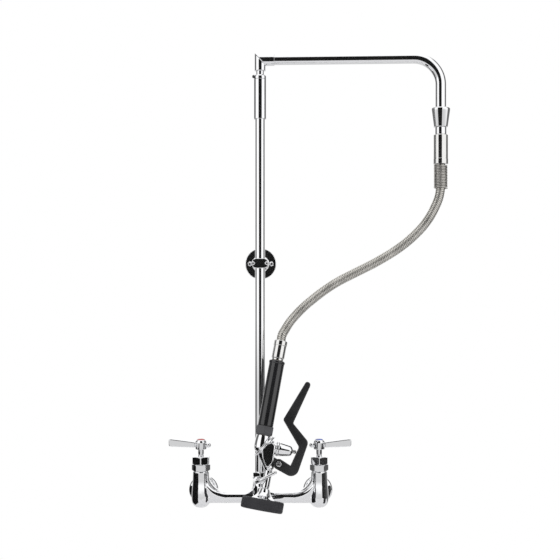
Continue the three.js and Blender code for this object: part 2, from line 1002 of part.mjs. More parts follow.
function valveSpring() {
  const turns = 4;
  const stepsPerTurn = 8;
  const stations = [];
  for (let i = 0; i <= turns * stepsPerTurn; i += 1) {
    const angle = (i / stepsPerTurn) * 2 * Math.PI;
    const along = 14.5 + (i / (turns * stepsPerTurn)) * 9.5;
    stations.push(new THREE.Vector3(along, 5.2 * Math.cos(angle), 5.2 * Math.sin(angle)));
  }
  return sweep(stations, 0.65, 5);
}

function leverOutline() {
  const outline = new THREE.Shape();
  const eye = 8.8;
  outline.absarc(leverPivot.x, leverPivot.z, eye, 1.35, 4.3);
  outline.lineTo(51.5, -40.3);
  outline.quadraticCurveTo(59, -42, 64.5, -36.5);
  outline.quadraticCurveTo(67, -34, 68, -29);
  outline.lineTo(75, 13.5);
  outline.quadraticCurveTo(76, 19, 73, 22.6);
  outline.lineTo(46.5, 45);
  outline.quadraticCurveTo(45.2, 46.5, 45.9, 49);
  outline.lineTo(62.4, 112);
  outline.quadraticCurveTo(63.2, 118.5, 57.5, 119.2);
  outline.quadraticCurveTo(54.2, 119.2, 53, 115.8);
  outline.lineTo(28.6, 52.5);
  outline.quadraticCurveTo(27.6, 49.6, 29.4, 47.2);
  outline.lineTo(60, 11.6);
  outline.quadraticCurveTo(61.6, 9.4, 61.2, 6.6);
  outline.lineTo(53.2, -23.6);
  outline.closePath();
  return outline;
}

function leverShape() {
  const fork = lugDepth + 2 * fitGap + 0.4;
  return cut(
    plate(leverOutline(), leverDepth, 1.6),
    box(
      [leverPivot.x - 14, -fork / 2, leverPivot.z - 14],
      [leverPivot.x + 9.6, fork / 2, leverPivot.z + 12],
    ),
    alongY(rod(2.5, -12, 12, 14)).translate(leverPivot.x, 0, leverPivot.z),
  );
}

function pivotPin() {
  const end = leverDepth / 2;
  const profile = [
    [0, -end - 3.6],
    [2.2, -end - 3.6],
    [2.2, end + gap],
    [4.2, end + gap],
    [4.2, end + 2.2],
    [2.6, end + 3],
    [0, end + 3],
  ];
  return alongY(lathe(profile, 16)).translate(leverPivot.x, 0, leverPivot.z);
}

function pivotNut() {
  const end = -leverDepth / 2;
  const nut = cut(hexagon(8.4, end - 3.2, end - gap), rod(2.5, end - 4, end + 1, 14));
  return alongY(shown(nut)).translate(leverPivot.x, 0, leverPivot.z);
}

function holdDownRing() {
  const ring = torus(ringRadius, ringWire, 0, 24, 8);
  return ring.rotateY(-ringTilt * degree).translate(5.2, 0, 0.6);
}

function sprayHead() {
  const skirt = bumper.inner - fitGap;
  const mouth = outletFoot - gap;
  const profile = [
    [3.8, mouth],
    [7.4, mouth],
    [8.2, mouth - 2],
    [10.4, mouth - 7.5],
    [14, mouth - 12.5],
    [19, mouth - 16.4],
    [skirt, mouth - 18.4],
    [skirt, bumper.bottom + 1.6],
    [18.8, bumper.bottom + 1.6],
    [18.8, bumper.bottom + 12],
    [9, mouth - 12],
    [3.8, mouth - 6],
    [3.8, mouth],
  ];
  return lathe(profile, 28).translate(outletOffset, 0, 0);
}

function sprayFace() {
  const low = bumper.bottom + 4;
  const high = bumper.bottom + 7;
  let face = solid(rod(18.5, low, high, 32));
  const holes = 10;
  for (let i = 0; i < holes; i += 1) {
    const angle = (i / holes) * 2 * Math.PI;
    const hole = rod(0.9, low - 1, high + 1, 8);
    face = cut(face, hole.translate(12.5 * Math.cos(angle), 12.5 * Math.sin(angle), 0));
  }
  return shown(face).translate(outletOffset, 0, 0);
}

function bumperShape() {
  const ring = roundedRing(bumper.outer, bumper.inner, bumper.bottom, bumper.top, 2.2, 32);
  return ring.translate(outletOffset, 0, 0);
}

// ---- Hose ----

function hose() {
  const tilt = valveTilt * degree;
  const lean = valveLean * degree;
  const up = [Math.cos(lean) * Math.sin(tilt), Math.sin(lean), Math.cos(lean) * Math.cos(tilt)];
  const start = [valveCentre.x, -wallGap - valveCentre.forward, valveCentre.z];
  const upFrom = (along) => start.map((value, i) => value + (ferruleHigh + gap + along) * up[i]);
  const turn = armRest * degree;
  const top = [armReach * Math.cos(turn), armReach * Math.sin(turn) - wallGap, ferruleFoot - gap];
  const bottom = upFrom(0);
  const between = (i, share) => bottom[i] + share * (top[i] - bottom[i]);
  const course = hoseCourse.map(([acrossShare, bow, upShare]) => [
    between(0, acrossShare),
    between(1, upShare) + bow,
    between(2, upShare),
  ]);
  const stations = spline([...course, upFrom(9)], 26);
  stations.push(new THREE.Vector3(...upFrom(1.5)), new THREE.Vector3(...bottom));
  return sweep(stations, hoseRadius, 10);
}

// ---- Assembly ----

const faucet = new THREE.Group();

const mixer = new THREE.Group();
mixer.position.set(0, -wallGap, 0);
faucet.add(mixer);
addPiece(mixer, 'faucet_body', faucetBody(), 'chrome');
for (const [name, side] of [['hot', -1], ['cold', 1]]) {
  const valve = new THREE.Group();
  valve.position.set(side * halfCentres, 0, 0);
  mixer.add(valve);
  const flange = addPiece(valve, `${name}_wall_flange`, wallFlange(), 'chrome');
  flange.position.set(0, wallGap, 0);
  addPiece(valve, `${name}_cartridge`, cartridge(), 'brass');
  addPiece(valve, `${name}_bonnet_nut`, bonnetNutShape(), 'chrome');
  addPiece(valve, `${name}_packing_nut`, packingNutShape(), 'chrome');
  const lever = new THREE.Group();
  lever.rotation.z = side < 0 ? Math.PI : 0;
  valve.add(lever);
  addPiece(lever, `${name}_stem`, stem(), 'chrome');
  addPiece(lever, `${name}_handle`, leverHandle(), 'chrome');
  addPiece(lever, `${name}_handle_screw`, handleScrew(), 'steel');
  addPiece(lever, `${name}_index_cap`, indexCap(), side < 0 ? 'hotMark' : 'coldMark');
}
addPiece(mixer, 'riser_washer', riserWasher(), 'rubber');
addPiece(mixer, 'riser_tube', tube(riserTube.outer, riserTube.inner, riserFoot, riserTop), 'chrome');
addPiece(mixer, 'finger_hook', fingerHook(), 'chrome');
const nutBore = rod(riserBore, couplingNut.low - 1, couplingNut.high + 1);
const nutHexagon = hexagon(couplingNut.flats, couplingNut.low, couplingNut.high, Math.PI / 6);
addPiece(mixer, 'coupling_nut', cut(nutHexagon, nutBore), 'chrome');

const bracket = new THREE.Group();
bracket.position.set(0, 0, bracketHeight);
mixer.add(bracket);
addPiece(bracket, 'bracket_wall_flange', bracketFlange(), 'chrome');
addPiece(bracket, 'bracket_rod', bracketRod(), 'chrome');
addPiece(bracket, 'bracket_rear_clamp', rearClamp(), 'chrome');
addPiece(bracket, 'bracket_front_clamp', clampHalf(clampSize.front, -gap), 'chrome');
for (const [name, side] of [['left', -1], ['right', 1]]) {
  addPiece(bracket, `bracket_clamp_screw_${name}`, clampScrew(side * clampScrewAt), 'chrome');
  addPiece(bracket, `bracket_wall_screw_${name}`, wallScrew(side * wallScrewAt), 'chrome');
}

addPiece(mixer, 'swivel_sleeve', swivelSleeve(), 'chrome');
addPiece(mixer, 'swivel_cap', swivelCap(), 'chrome');
addPiece(mixer, 'swivel_set_screw', setScrew(), 'blackPlastic');

const arm = new THREE.Group();
arm.rotation.z = armRest * degree;
mixer.add(arm);
addPiece(arm, 'arm_elbow', elbow(), 'chrome');
for (const [name, height] of Object.entries(oRingHeights)) {
  addPiece(arm, `${name}_o_ring`, torus(8.08, 0.75, height, 14, 5), 'rubber');
}
addPiece(arm, 'overhead_arm', overheadArm(), 'chrome');
const drop = new THREE.Group();
drop.position.set(armReach, 0, 0);
arm.add(drop);
addPiece(drop, 'arm_cone_nut', coneNutShape(), 'chrome');
addPiece(drop, 'hose_washer', hoseWasher(), 'rubber');
addPiece(drop, 'hose_nipple', hoseNipple(), 'chrome');
addPiece(drop, 'upper_ferrule', upperFerrule(), 'steel');
addPiece(drop, 'spring_guard', springGuard(), 'steel');

addPiece(faucet, 'spray_hose', hose(), 'steel');

const sprayValve = new THREE.Group();
sprayValve.position.set(valveCentre.x, -wallGap - valveCentre.forward, valveCentre.z);
sprayValve.rotation.set(-valveLean * degree, valveTilt * degree, 0, 'YXZ');
faucet.add(sprayValve);
addPiece(sprayValve, 'lower_ferrule', lowerFerrule(), 'steel');
addPiece(sprayValve, 'core_tube', coreTubeShape(), 'brass');
addPiece(sprayValve, 'grip', gripShape(), 'blackPlastic');
addPiece(sprayValve, 'grip_collar', collarShape(), 'greyPlastic');
addPiece(sprayValve, 'valve_body', valveBody(), 'chrome');
addPiece(sprayValve, 'valve_bonnet', bonnetShape(), 'chrome');
addPiece(sprayValve, 'valve_spring', valveSpring(), 'steel');
addPiece(sprayValve, 'spray_head', sprayHead(), 'chrome');
addPiece(sprayValve, 'spray_face', sprayFace(), 'steel');
addPiece(sprayValve, 'spray_bumper', bumperShape(), 'rubber');
addPiece(sprayValve, 'pivot_pin', pivotPin(), 'chrome');
addPiece(sprayValve, 'pivot_nut', pivotNut(), 'chrome');
addPiece(sprayValve, 'valve_plunger', plunger(), 'steel');
addPiece(sprayValve, 'seat_washer', seatWasher(), 'rubber');
addPiece(sprayValve, 'spray_lever', leverShape(), 'leverCoat');
addPiece(sprayValve, 'hold_down_ring', holdDownRing(), 'chrome');

export default faucet;
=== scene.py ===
import json
import math
import bmesh
import bpy
import numpy as np
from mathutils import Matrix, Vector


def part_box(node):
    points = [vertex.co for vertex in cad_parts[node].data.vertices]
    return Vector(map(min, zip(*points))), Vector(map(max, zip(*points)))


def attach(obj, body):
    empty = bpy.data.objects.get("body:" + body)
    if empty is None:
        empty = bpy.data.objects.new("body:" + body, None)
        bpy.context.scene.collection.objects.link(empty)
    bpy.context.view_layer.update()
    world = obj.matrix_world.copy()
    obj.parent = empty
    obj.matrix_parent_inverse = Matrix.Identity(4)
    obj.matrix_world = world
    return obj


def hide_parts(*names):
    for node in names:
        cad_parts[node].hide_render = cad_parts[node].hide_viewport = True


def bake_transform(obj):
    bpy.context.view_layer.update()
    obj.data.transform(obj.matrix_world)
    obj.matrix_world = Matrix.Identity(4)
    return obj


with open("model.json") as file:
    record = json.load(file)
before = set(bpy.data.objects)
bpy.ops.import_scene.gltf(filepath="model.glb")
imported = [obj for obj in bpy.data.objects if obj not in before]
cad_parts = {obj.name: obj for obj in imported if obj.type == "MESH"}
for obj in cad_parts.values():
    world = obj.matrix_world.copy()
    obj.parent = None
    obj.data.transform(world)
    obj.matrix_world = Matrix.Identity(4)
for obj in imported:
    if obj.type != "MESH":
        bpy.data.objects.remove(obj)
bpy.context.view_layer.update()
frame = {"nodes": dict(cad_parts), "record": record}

# A wall-mounted pre-rinse faucet. Shapes are worked out in millimetres and put into the mesh in metres.
print("faucet: frame loaded")

# places: all are taken from the CAD nodes and the record's joints


def middle(node):
    # the centre of a node's box, in millimetres
    low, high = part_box(node)
    return (np.array(low) + np.array(high)) * 500


def lowest(node):
    return np.array(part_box(node)[0]) * 1000


def highest(node):
    return np.array(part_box(node)[1]) * 1000


joints = {joint["name"]: joint for joint in frame["record"]["behaviour"]["joints"]}
axisX = np.array([1.0, 0.0, 0.0])
axisY = np.array([0.0, 1.0, 0.0])
axisZ = np.array([0.0, 0.0, 1.0])


def setting(origin, across, along):
    # a frame of its own for a piece: origin, two sides and turning axis, each square to the rest
    along = np.array(along, float) / np.linalg.norm(along)
    across = np.array(across, float)
    across = across - along * (across @ along)
    across = across / np.linalg.norm(across)
    return np.array(origin, float), across, np.cross(along, across), along


def turnedSetting(base):
    # the same place with its turning axis along the frame's first side
    origin, across, second, along = base
    return origin, -along, second, across


def slid(base, first=0.0, second=0.0, third=0.0):
    origin, across, other, along = base
    return origin + first * across + second * other + third * along, across, other, along


riserPlace = middle("riser_tube")
mixerSetting = setting([riserPlace[0], riserPlace[1], 0], axisX, axisZ)
armHeading = middle("arm_cone_nut") - riserPlace
armHeading[2] = 0
armSetting = setting([riserPlace[0], riserPlace[1], 0], armHeading, axisZ)
armReach = float(np.linalg.norm(armHeading))
dropSetting = slid(armSetting, armReach)
bonnetAxis = -np.array(joints["plunger_travel"]["axis"], float)
valveSide = -np.array(joints["lever_squeeze"]["axis"], float)
gripAxis = np.cross(bonnetAxis, valveSide)
ferruleTop = 180.7  # from the crossing of the grip and bonnet axes up to the hose's end
valveOrigin = np.array(joints["valve_swing"]["pos_m"]) * 1000 - ferruleTop * gripAxis
valveSetting = setting(valveOrigin, bonnetAxis, gripAxis)
outletOffset = 18.5
outletSetting = slid(valveSetting, outletOffset)

# shapes


def rounded(corners, closed=False, steps=6):
    # each corner (x, y, cut) is cut back along both sides and bridged by a parabola:
    # p(s) = (1-s)^2 a + 2 s (1-s) corner + s^2 b
    count = len(corners)
    pieces = []
    for index, (x, y, cut) in enumerate(corners):
        corner = np.array([x, y], float)
        if cut == 0 or (not closed and index in (0, count - 1)):
            pieces.append(corner[None])
            continue
        back = np.array(corners[index - 1][:2], float) - corner
        ahead = np.array(corners[(index + 1) % count][:2], float) - corner
        backLength = np.linalg.norm(back)
        aheadLength = np.linalg.norm(ahead)
        a = corner + back / backLength * min(cut, 0.46 * backLength)
        b = corner + ahead / aheadLength * min(cut, 0.46 * aheadLength)
        s = np.linspace(0, 1, steps)[:, None]
        pieces.append((1 - s) ** 2 * a + 2 * s * (1 - s) * corner + s**2 * b)
    line = np.concatenate(pieces)
    if closed:
        line = np.concatenate([line, line[:1]])
    return line


def fine(line, longest=2.5, edge=0.12):
    # the same line with more points: evenly along each side, and one close to each end of it
    pieces = []
    for start, stop in zip(line[:-1], line[1:]):
        length = np.linalg.norm(stop - start)
        if length < 1e-9:
            continue
        places = np.linspace(0, 1, int(np.ceil(length / longest)) + 1)[:-1]
        if length > 4 * edge:
            places = np.unique(np.concatenate([places, [edge / length, 1 - edge / length]]))
        pieces.append(start + places[:, None] * (stop - start))
    pieces.append(line[-1:])
    return np.concatenate(pieces)


def smoothLine(points, count):
    # a cubic through every point, with slopes taken from its neighbours, at equal steps of its own length
    points = np.array(points, float)
    knots = np.concatenate([[0], np.cumsum(np.sqrt(np.linalg.norm(np.diff(points, axis=0), axis=1)))])
    slopes = np.gradient(points, knots, axis=0)

    def at(t):
        index = np.clip(np.searchsorted(knots, t, side="right") - 1, 0, len(knots) - 2)
        width = (knots[index + 1] - knots[index])[:, None]
        s = ((t - knots[index]) / width[:, 0])[:, None]
        return (
            (2 * s**3 - 3 * s**2 + 1) * points[index]
            + (s**3 - 2 * s**2 + s) * width * slopes[index]
            + (3 * s**2 - 2 * s**3) * points[index + 1]
            + (s**3 - s**2) * width * slopes[index + 1]
        )

    dense = at(np.linspace(knots[0], knots[-1], 4000))
    length = np.concatenate([[0], np.cumsum(np.linalg.norm(np.diff(dense, axis=0), axis=1))])
    wanted = np.linspace(0, length[-1], count)
    return np.stack([np.interp(wanted, length, dense[:, k]) for k in range(3)], axis=1)


def linked(name, data):
    made = bpy.data.objects.new(name, data)
    bpy.context.scene.collection.objects.link(made)
    return made


def tidyMesh(mesh, creaseAngle=38):
    # merges the points that fall together, turns every face outwards and shades it smooth between creases
    work = bmesh.new()
    work.from_mesh(mesh)
    bmesh.ops.remove_doubles(work, verts=work.verts, dist=2e-6)
    bmesh.ops.dissolve_degenerate(work, edges=work.edges, dist=1e-7)
    bmesh.ops.recalc_face_normals(work, faces=work.faces)
    work.to_mesh(mesh)
    work.free()
    mesh.polygons.foreach_set("use_smooth", np.ones(len(mesh.polygons), bool))
    mesh.set_sharp_from_angle(angle=math.radians(creaseAngle))
    mesh.update()


def surface(name, points, wrapRows=False, marks=None):
    # a grid of points (row, column, xyz) as quads, joined round its columns, and round its rows where asked
    rows, columns = points.shape[:2]
    i = np.arange(rows if wrapRows else rows - 1)[:, None]
    j = np.arange(columns)[None, :]
    iNext = (i + 1) % rows
    jNext = (j + 1) % columns
    corners = (i * columns + j, i * columns + jNext, iNext * columns + jNext, iNext * columns + j)
    faces = np.stack(np.broadcast_arrays(*corners), axis=-1).reshape(-1, 4)
    mesh = bpy.data.meshes.new(name)
    mesh.from_pydata((points.reshape(-1, 3) * 0.001).tolist(), [], faces.tolist())
    for markName, values in (marks or {}).items():
        mark = mesh.attributes.new(markName, "FLOAT", "POINT")
        mark.data.foreach_set("value", np.ascontiguousarray(values, np.float32).ravel())
    tidyMesh(mesh)
    return linked(name, mesh)


def around(base, radius, height, sides):
    # points about the turning axis: p = origin + r cos t x + r sin t y + h z
    origin, across, second, along = base
    angle = np.linspace(0, 2 * np.pi, sides, endpoint=False)[None, :, None]
    return origin + radius * (np.cos(angle) * across + np.sin(angle) * second) + height * along


def turned(name, base, line, sides=112):
    # a line of (radius, height) carried round the turning axis
    closed = np.allclose(line[0], line[-1])
    line = fine(line)
    if closed:
        line = line[:-1]
    radius, height = line.T[:, :, None, None]
    return surface(name, around(base, radius, height, sides), wrapRows=closed)


def lathe(name, base, corners, sides=112):
    # a profile of (radius, height, rounding): it is closed in itself where it starts away from the axis
    return turned(name, base, rounded(corners, closed=corners[0][0] > 0), sides)


def rod(name, base, radius, low, high, cut=0.3, sides=96):
    return lathe(name, base, [(0, low, 0), (radius, low, cut), (radius, high, cut), (0, high, 0)], sides)


def hexTurned(name, base, sizes, sides=144):
    # a nut: its radius is the smaller, softly joined, of a hexagon's, which is flats / 2 over the cosine of
    # the angle to the nearest flat's middle, and that of a cone at each end
    flats, low, high, bore = (sizes[key] for key in ("flats", "low", "high", "bore"))
    angle = np.linspace(0, 2 * np.pi, sides, endpoint=False)
    toFlat = (angle - math.radians(sizes["turn"])) % (np.pi / 3) - np.pi / 6
    hexRadius = flats / 2 / np.cos(toFlat)
    bluntCorner = flats / math.sqrt(3) - 0.12
    cornerSoft, endSoft = 0.25, 0.1
    hexRadius = -cornerSoft * np.log(np.exp(-hexRadius / cornerSoft) + np.exp(-bluntCorner / cornerSoft))
    run = (high - low) / 2
    ends = np.concatenate([np.linspace(0, 0.3 * run, 14), np.linspace(0.3 * run, run, 6)[1:]])
    heights = np.concatenate([low + ends, (high - ends)[::-1][1:]])
    chamfer = flats / 2 - 0.2
    lowCone = sizes.get("lowRadius", chamfer) + (heights - low) * sizes.get("lowSlope", 1.7)
    highCone = sizes.get("highRadius", chamfer) + (high - heights) * sizes.get("highSlope", 1.7)
    cone = np.minimum(lowCone, highCone)[:, None]
    radius = -endSoft * np.logaddexp(-hexRadius[None, :] / endSoft, -cone / endSoft)
    lip = 0.25
    lips = np.array([[bore + lip, high], [bore, high - lip], [bore, low + lip], [bore + lip, low]])
    radius = np.concatenate([radius, lips[:, :1] * np.ones(sides)])
    heights = np.concatenate([heights, lips[:, 1]])
    return surface(name, around(base, radius[:, :, None], heights[:, None, None], sides), wrapRows=True)


def alongPath(name, path, radius, side, sides=40, marks=None):
    # a round section carried along a path: p = c(s) + r (cos t a + sin t b), where b is square to the path
    # and to the side vector, and a to both. Each end closes on its own centre.
    path = np.array(path, float)
    heading = np.gradient(path, axis=0)
    heading /= np.linalg.norm(heading, axis=1)[:, None]
    b = np.cross(heading, np.array(side, float))
    b /= np.linalg.norm(b, axis=1)[:, None]
    a = np.cross(b, heading)
    radius = np.broadcast_to(np.array(radius, float), (len(path),))
    angle = np.linspace(0, 2 * np.pi, sides, endpoint=False)[None, :, None]
    points = path[:, None] + radius[:, None, None] * (np.cos(angle) * a[:, None] + np.sin(angle) * b[:, None])
    start = np.broadcast_to(path[:1, None], (1, sides, 3))
    stop = np.broadcast_to(path[-1:, None], (1, sides, 3))
    points = np.concatenate([start, points, stop])
    if marks:
        marks = {
            key: np.repeat(np.concatenate([value[:1], value, value[-1:]])[:, None], sides, axis=1)
            for key, value in marks.items()
        }
    return surface(name, points, marks=marks)


def slab(name, base, outline, depth, cut, steps=6):
    # a closed outline in x and z given depth along y, its rim rounded: the outline moves in by
    # c (1 - sin t) while the depth grows by c cos t short of its full value
    origin, across, second, along = base
    outline = np.array(outline, float)
    heading = np.roll(outline, -1, axis=0) - np.roll(outline, 1, axis=0)
    heading /= np.linalg.norm(heading, axis=1)[:, None]
    inward = np.stack([-heading[:, 1], heading[:, 0]], axis=1)
    area = np.sum(outline[:, 0] * np.roll(outline[:, 1], -1) - np.roll(outline[:, 0], -1) * outline[:, 1])
    if area < 0:
        inward = -inward
    t = np.linspace(0, np.pi / 2, steps)
    inset = np.concatenate([cut * (1 - np.sin(t)), cut * (1 - np.sin(t))[::-1]])
    level = np.concatenate([-depth / 2 + cut * (1 - np.cos(t)), depth / 2 - cut * (1 - np.cos(t))[::-1]])
    flat = outline[None] + inset[:, None, None] * inward[None]
    points = origin + flat[..., :1] * across + flat[..., 1:] * along + level[:, None, None] * second
    piece = surface(name, points)
    work = bmesh.new()
    work.from_mesh(piece.data)
    bmesh.ops.holes_fill(work, edges=[edge for edge in work.edges if edge.is_boundary], sides=0)
    bmesh.ops.triangulate(work, faces=[face for face in work.faces if len(face.verts) > 4])
    bmesh.ops.recalc_face_normals(work, faces=work.faces)
    work.to_mesh(piece.data)
    work.free()
    return piece


def curveThrough(*arcs):
    # an outline made of straight runs and parabolas: a run is (x, y), a parabola (control, end)
    points = [np.array([arcs[0]], float)]
    for arc in arcs[1:]:
        start = points[-1][-1]
        if np.ndim(arc[0]) == 0:
            s = np.linspace(0, 1, max(2, int(np.linalg.norm(np.array(arc) - start) / 1.2) + 1))[1:, None]
            points.append(start + s * (np.array(arc, float) - start))
        else:
            control, end = np.array(arc[0], float), np.array(arc[1], float)
            s = np.linspace(0, 1, 13)[1:, None]
            points.append((1 - s) ** 2 * start + 2 * s * (1 - s) * control + s**2 * end)
    return np.concatenate(points)


def applied(piece):
    # the mesh as its modifiers leave it, in place of the mesh and its modifiers
    bpy.context.view_layer.update()
    graph = bpy.context.evaluated_depsgraph_get()
    mesh = bpy.data.meshes.new_from_object(piece.evaluated_get(graph))
    old = piece.data
    piece.modifiers.clear()
    piece.data = mesh
    bpy.data.meshes.remove(old)
    return piece


def cutBy(piece, *tools):
    # the piece with each tool's solid taken away from it
    for tool in tools:
        change = piece.modifiers.new("work", "BOOLEAN")
        change.operation = "DIFFERENCE"
        change.solver = "MANIFOLD"
        change.object = tool
        applied(piece)
        bpy.data.meshes.remove(tool.data)
    tidyMesh(piece.data)
    return piece


def cast(name, parts, voxel, relax):
    # solids that overlap, run together into one casting with soft inside corners
    work = bmesh.new()
    for part in parts:
        work.from_mesh(part.data)
        bpy.data.meshes.remove(part.data)
    mesh = bpy.data.meshes.new(name)
    work.to_mesh(mesh)
    work.free()
    piece = linked(name, mesh)
    skin = piece.modifiers.new("skin", "REMESH")
    skin.mode = "VOXEL"
    skin.voxel_size = voxel * 0.001
    even = piece.modifiers.new("even", "SMOOTH")
    even.factor = 0.5
    even.iterations = relax
    applied(piece)
    piece.data.name = name
    piece.data.polygons.foreach_set("use_smooth", np.ones(len(piece.data.polygons), bool))
    return piece


def ball(name, centre, radius, sides=48):
    t = np.linspace(-np.pi / 2, np.pi / 2, sides // 2)
    line = np.stack([radius * np.cos(t), radius * np.sin(t)], axis=1)
    line[[0, -1], 0] = 0
    return turned(name, setting(centre, axisX, axisZ), line, sides)


# materials


class Nodes:
    # a node tree, with short calls for the nodes used here
    def __init__(self, owner):
        owner.use_nodes = True
        self.tree = owner.node_tree

    def fill(self, node, inputs):
        # each input takes a value of its own or another node's output
        for key, value in inputs.items():
            if isinstance(value, bpy.types.NodeSocket):
                self.tree.links.new(value, node.inputs[key])
            else:
                node.inputs[key].default_value = value

    def node(self, kind, inputs=None, **settings):
        made = self.tree.nodes.new(kind)
        for key, value in settings.items():
            setattr(made, key, value)
        self.fill(made, inputs or {})
        return made

    def maths(self, operation, *values):
        return self.node("ShaderNodeMath", dict(enumerate(values)), operation=operation).outputs["Value"]

    def spread(self, value, low, high, toLow=0, toHigh=1):
        # value from low..high carried to toLow..toHigh
        inputs = {"From Min": low, "From Max": high, "To Min": toLow, "To Max": toHigh, "Value": value}
        return self.node("ShaderNodeMapRange", inputs, interpolation_type="SMOOTHSTEP").outputs["Result"]


class Shader(Nodes):
    # a material on the piece's own coordinates
    def __init__(self, name):
        self.material = bpy.data.materials.new(name)
        super().__init__(self.material)
        self.skin = self.tree.nodes["Principled BSDF"]
        self.place = self.node("ShaderNodeTexCoord").outputs["Object"]

    def noise(self, scale, detail=3, stretch=None, rough=0.5):
        source = self.place
        if stretch:
            source = self.node("ShaderNodeMapping", {"Scale": stretch, "Vector": source}).outputs["Vector"]
        inputs = {"Scale": scale, "Detail": detail, "Roughness": rough, "Vector": source}
        return self.node("ShaderNodeTexNoise", inputs).outputs["Fac"]

    def spots(self, scale):
        return self.node("ShaderNodeTexVoronoi", {"Scale": scale, "Vector": self.place}).outputs["Distance"]

    def blendColour(self, factor, first, second):
        inputs = {"A": (*first, 1), "B": (*second, 1), "Factor": factor}
        return self.node("ShaderNodeMix", inputs, data_type="RGBA").outputs["Result"]

    def relief(self, height, strength, distance):
        inputs = {"Strength": strength, "Distance": distance, "Height": height}
        return self.node("ShaderNodeBump", inputs).outputs["Normal"]

    def mark(self, name):
        return self.node("ShaderNodeAttribute", attribute_name=name).outputs["Fac"]


def polishedChrome(name, look):
    # plated metal: a faint cloudy haze, dried water spots and hair-fine wiping marks
    shader = Shader(name)
    haze = shader.noise(38, 4)
    spots = shader.spread(shader.spots(210), 0.05, 0.16, look["spot"], 0)
    wiped = shader.spread(shader.noise(900, 2, (1, 1, 0.03)), 0.45, 0.8, 0, look["wiped"])
    rough = shader.maths("ADD", shader.spread(haze, 0.3, 0.7, look["roughLow"], look["roughHigh"]), spots)
    shader.fill(shader.skin, {
        "Base Color": shader.blendColour(haze, look["tone"], look["cloud"]),
        "Metallic": 1,
        "Roughness": shader.maths("ADD", rough, wiped),
        "Normal": shader.relief(shader.noise(160, 3), look["ripple"], 0.0004),
    })
    return shader.material


def workedMetal(name, look):
    # turned or drawn metal: fine lines square to the stretch, with duller and darker patches
    shader = Shader(name)
    lines = shader.noise(look["grain"], 3, look["stretch"])
    patches = shader.noise(46, 4)
    both = shader.maths("ADD", shader.maths("MULTIPLY", lines, 0.55), 0.2)
    tone = shader.maths("MULTIPLY", both, shader.spread(patches, 0.2, 0.8, 0.8, 1.35))
    shader.fill(shader.skin, {
        "Base Color": shader.blendColour(tone, look["dark"], look["light"]),
        "Metallic": 1,
        "Roughness": shader.spread(patches, 0.25, 0.75, look["roughLow"], look["roughHigh"]),
        "Normal": shader.relief(lines, look["relief"], 0.0002),
    })
    return shader.material


def moulded(name, look):
    # moulded plastic, rubber or a dipped coat: a fine grain, a slow change of tone, rubbed lighter places
    shader = Shader(name)
    grain = shader.noise(look["grain"], 4, rough=0.6)
    slow = shader.noise(30, 3)
    rubbed = shader.spread(shader.noise(85, 5, rough=0.7), 0.55, 0.8, 0, look["rubbed"])
    tone = shader.maths("ADD", shader.spread(slow, 0.3, 0.7, 0, 0.6), rubbed)
    shader.fill(shader.skin, {
        "Base Color": shader.blendColour(tone, look["dark"], look["light"]),
        "Roughness": shader.spread(grain, 0.3, 0.7, look["roughLow"], look["roughHigh"]),
        "Specular IOR Level": look["shine"],
        "Normal": shader.relief(grain, look["relief"], 0.00025),
    })
    return shader.material


def woundSteel(name, look):
    # strip-wound steel: bright crowns, dark in the grooves between the turns, fine mottled grain
    shader = Shader(name)
    grain = shader.noise(700, 3)
    patches = shader.spread(shader.noise(60, 3), 0.2, 0.8, 0.75, 1.1)
    crown = shader.maths("MULTIPLY", shader.spread(shader.mark("ridge"), 0.1, 0.7), patches)
    shader.fill(shader.skin, {
        "Base Color": shader.blendColour(crown, look["joint"], look["crown"]),
        "Metallic": 1,
        "Roughness": shader.spread(grain, 0.3, 0.7, look["roughLow"], look["roughHigh"]),
        "Normal": shader.relief(grain, 0.12, 0.0002),
    })
    return shader.material


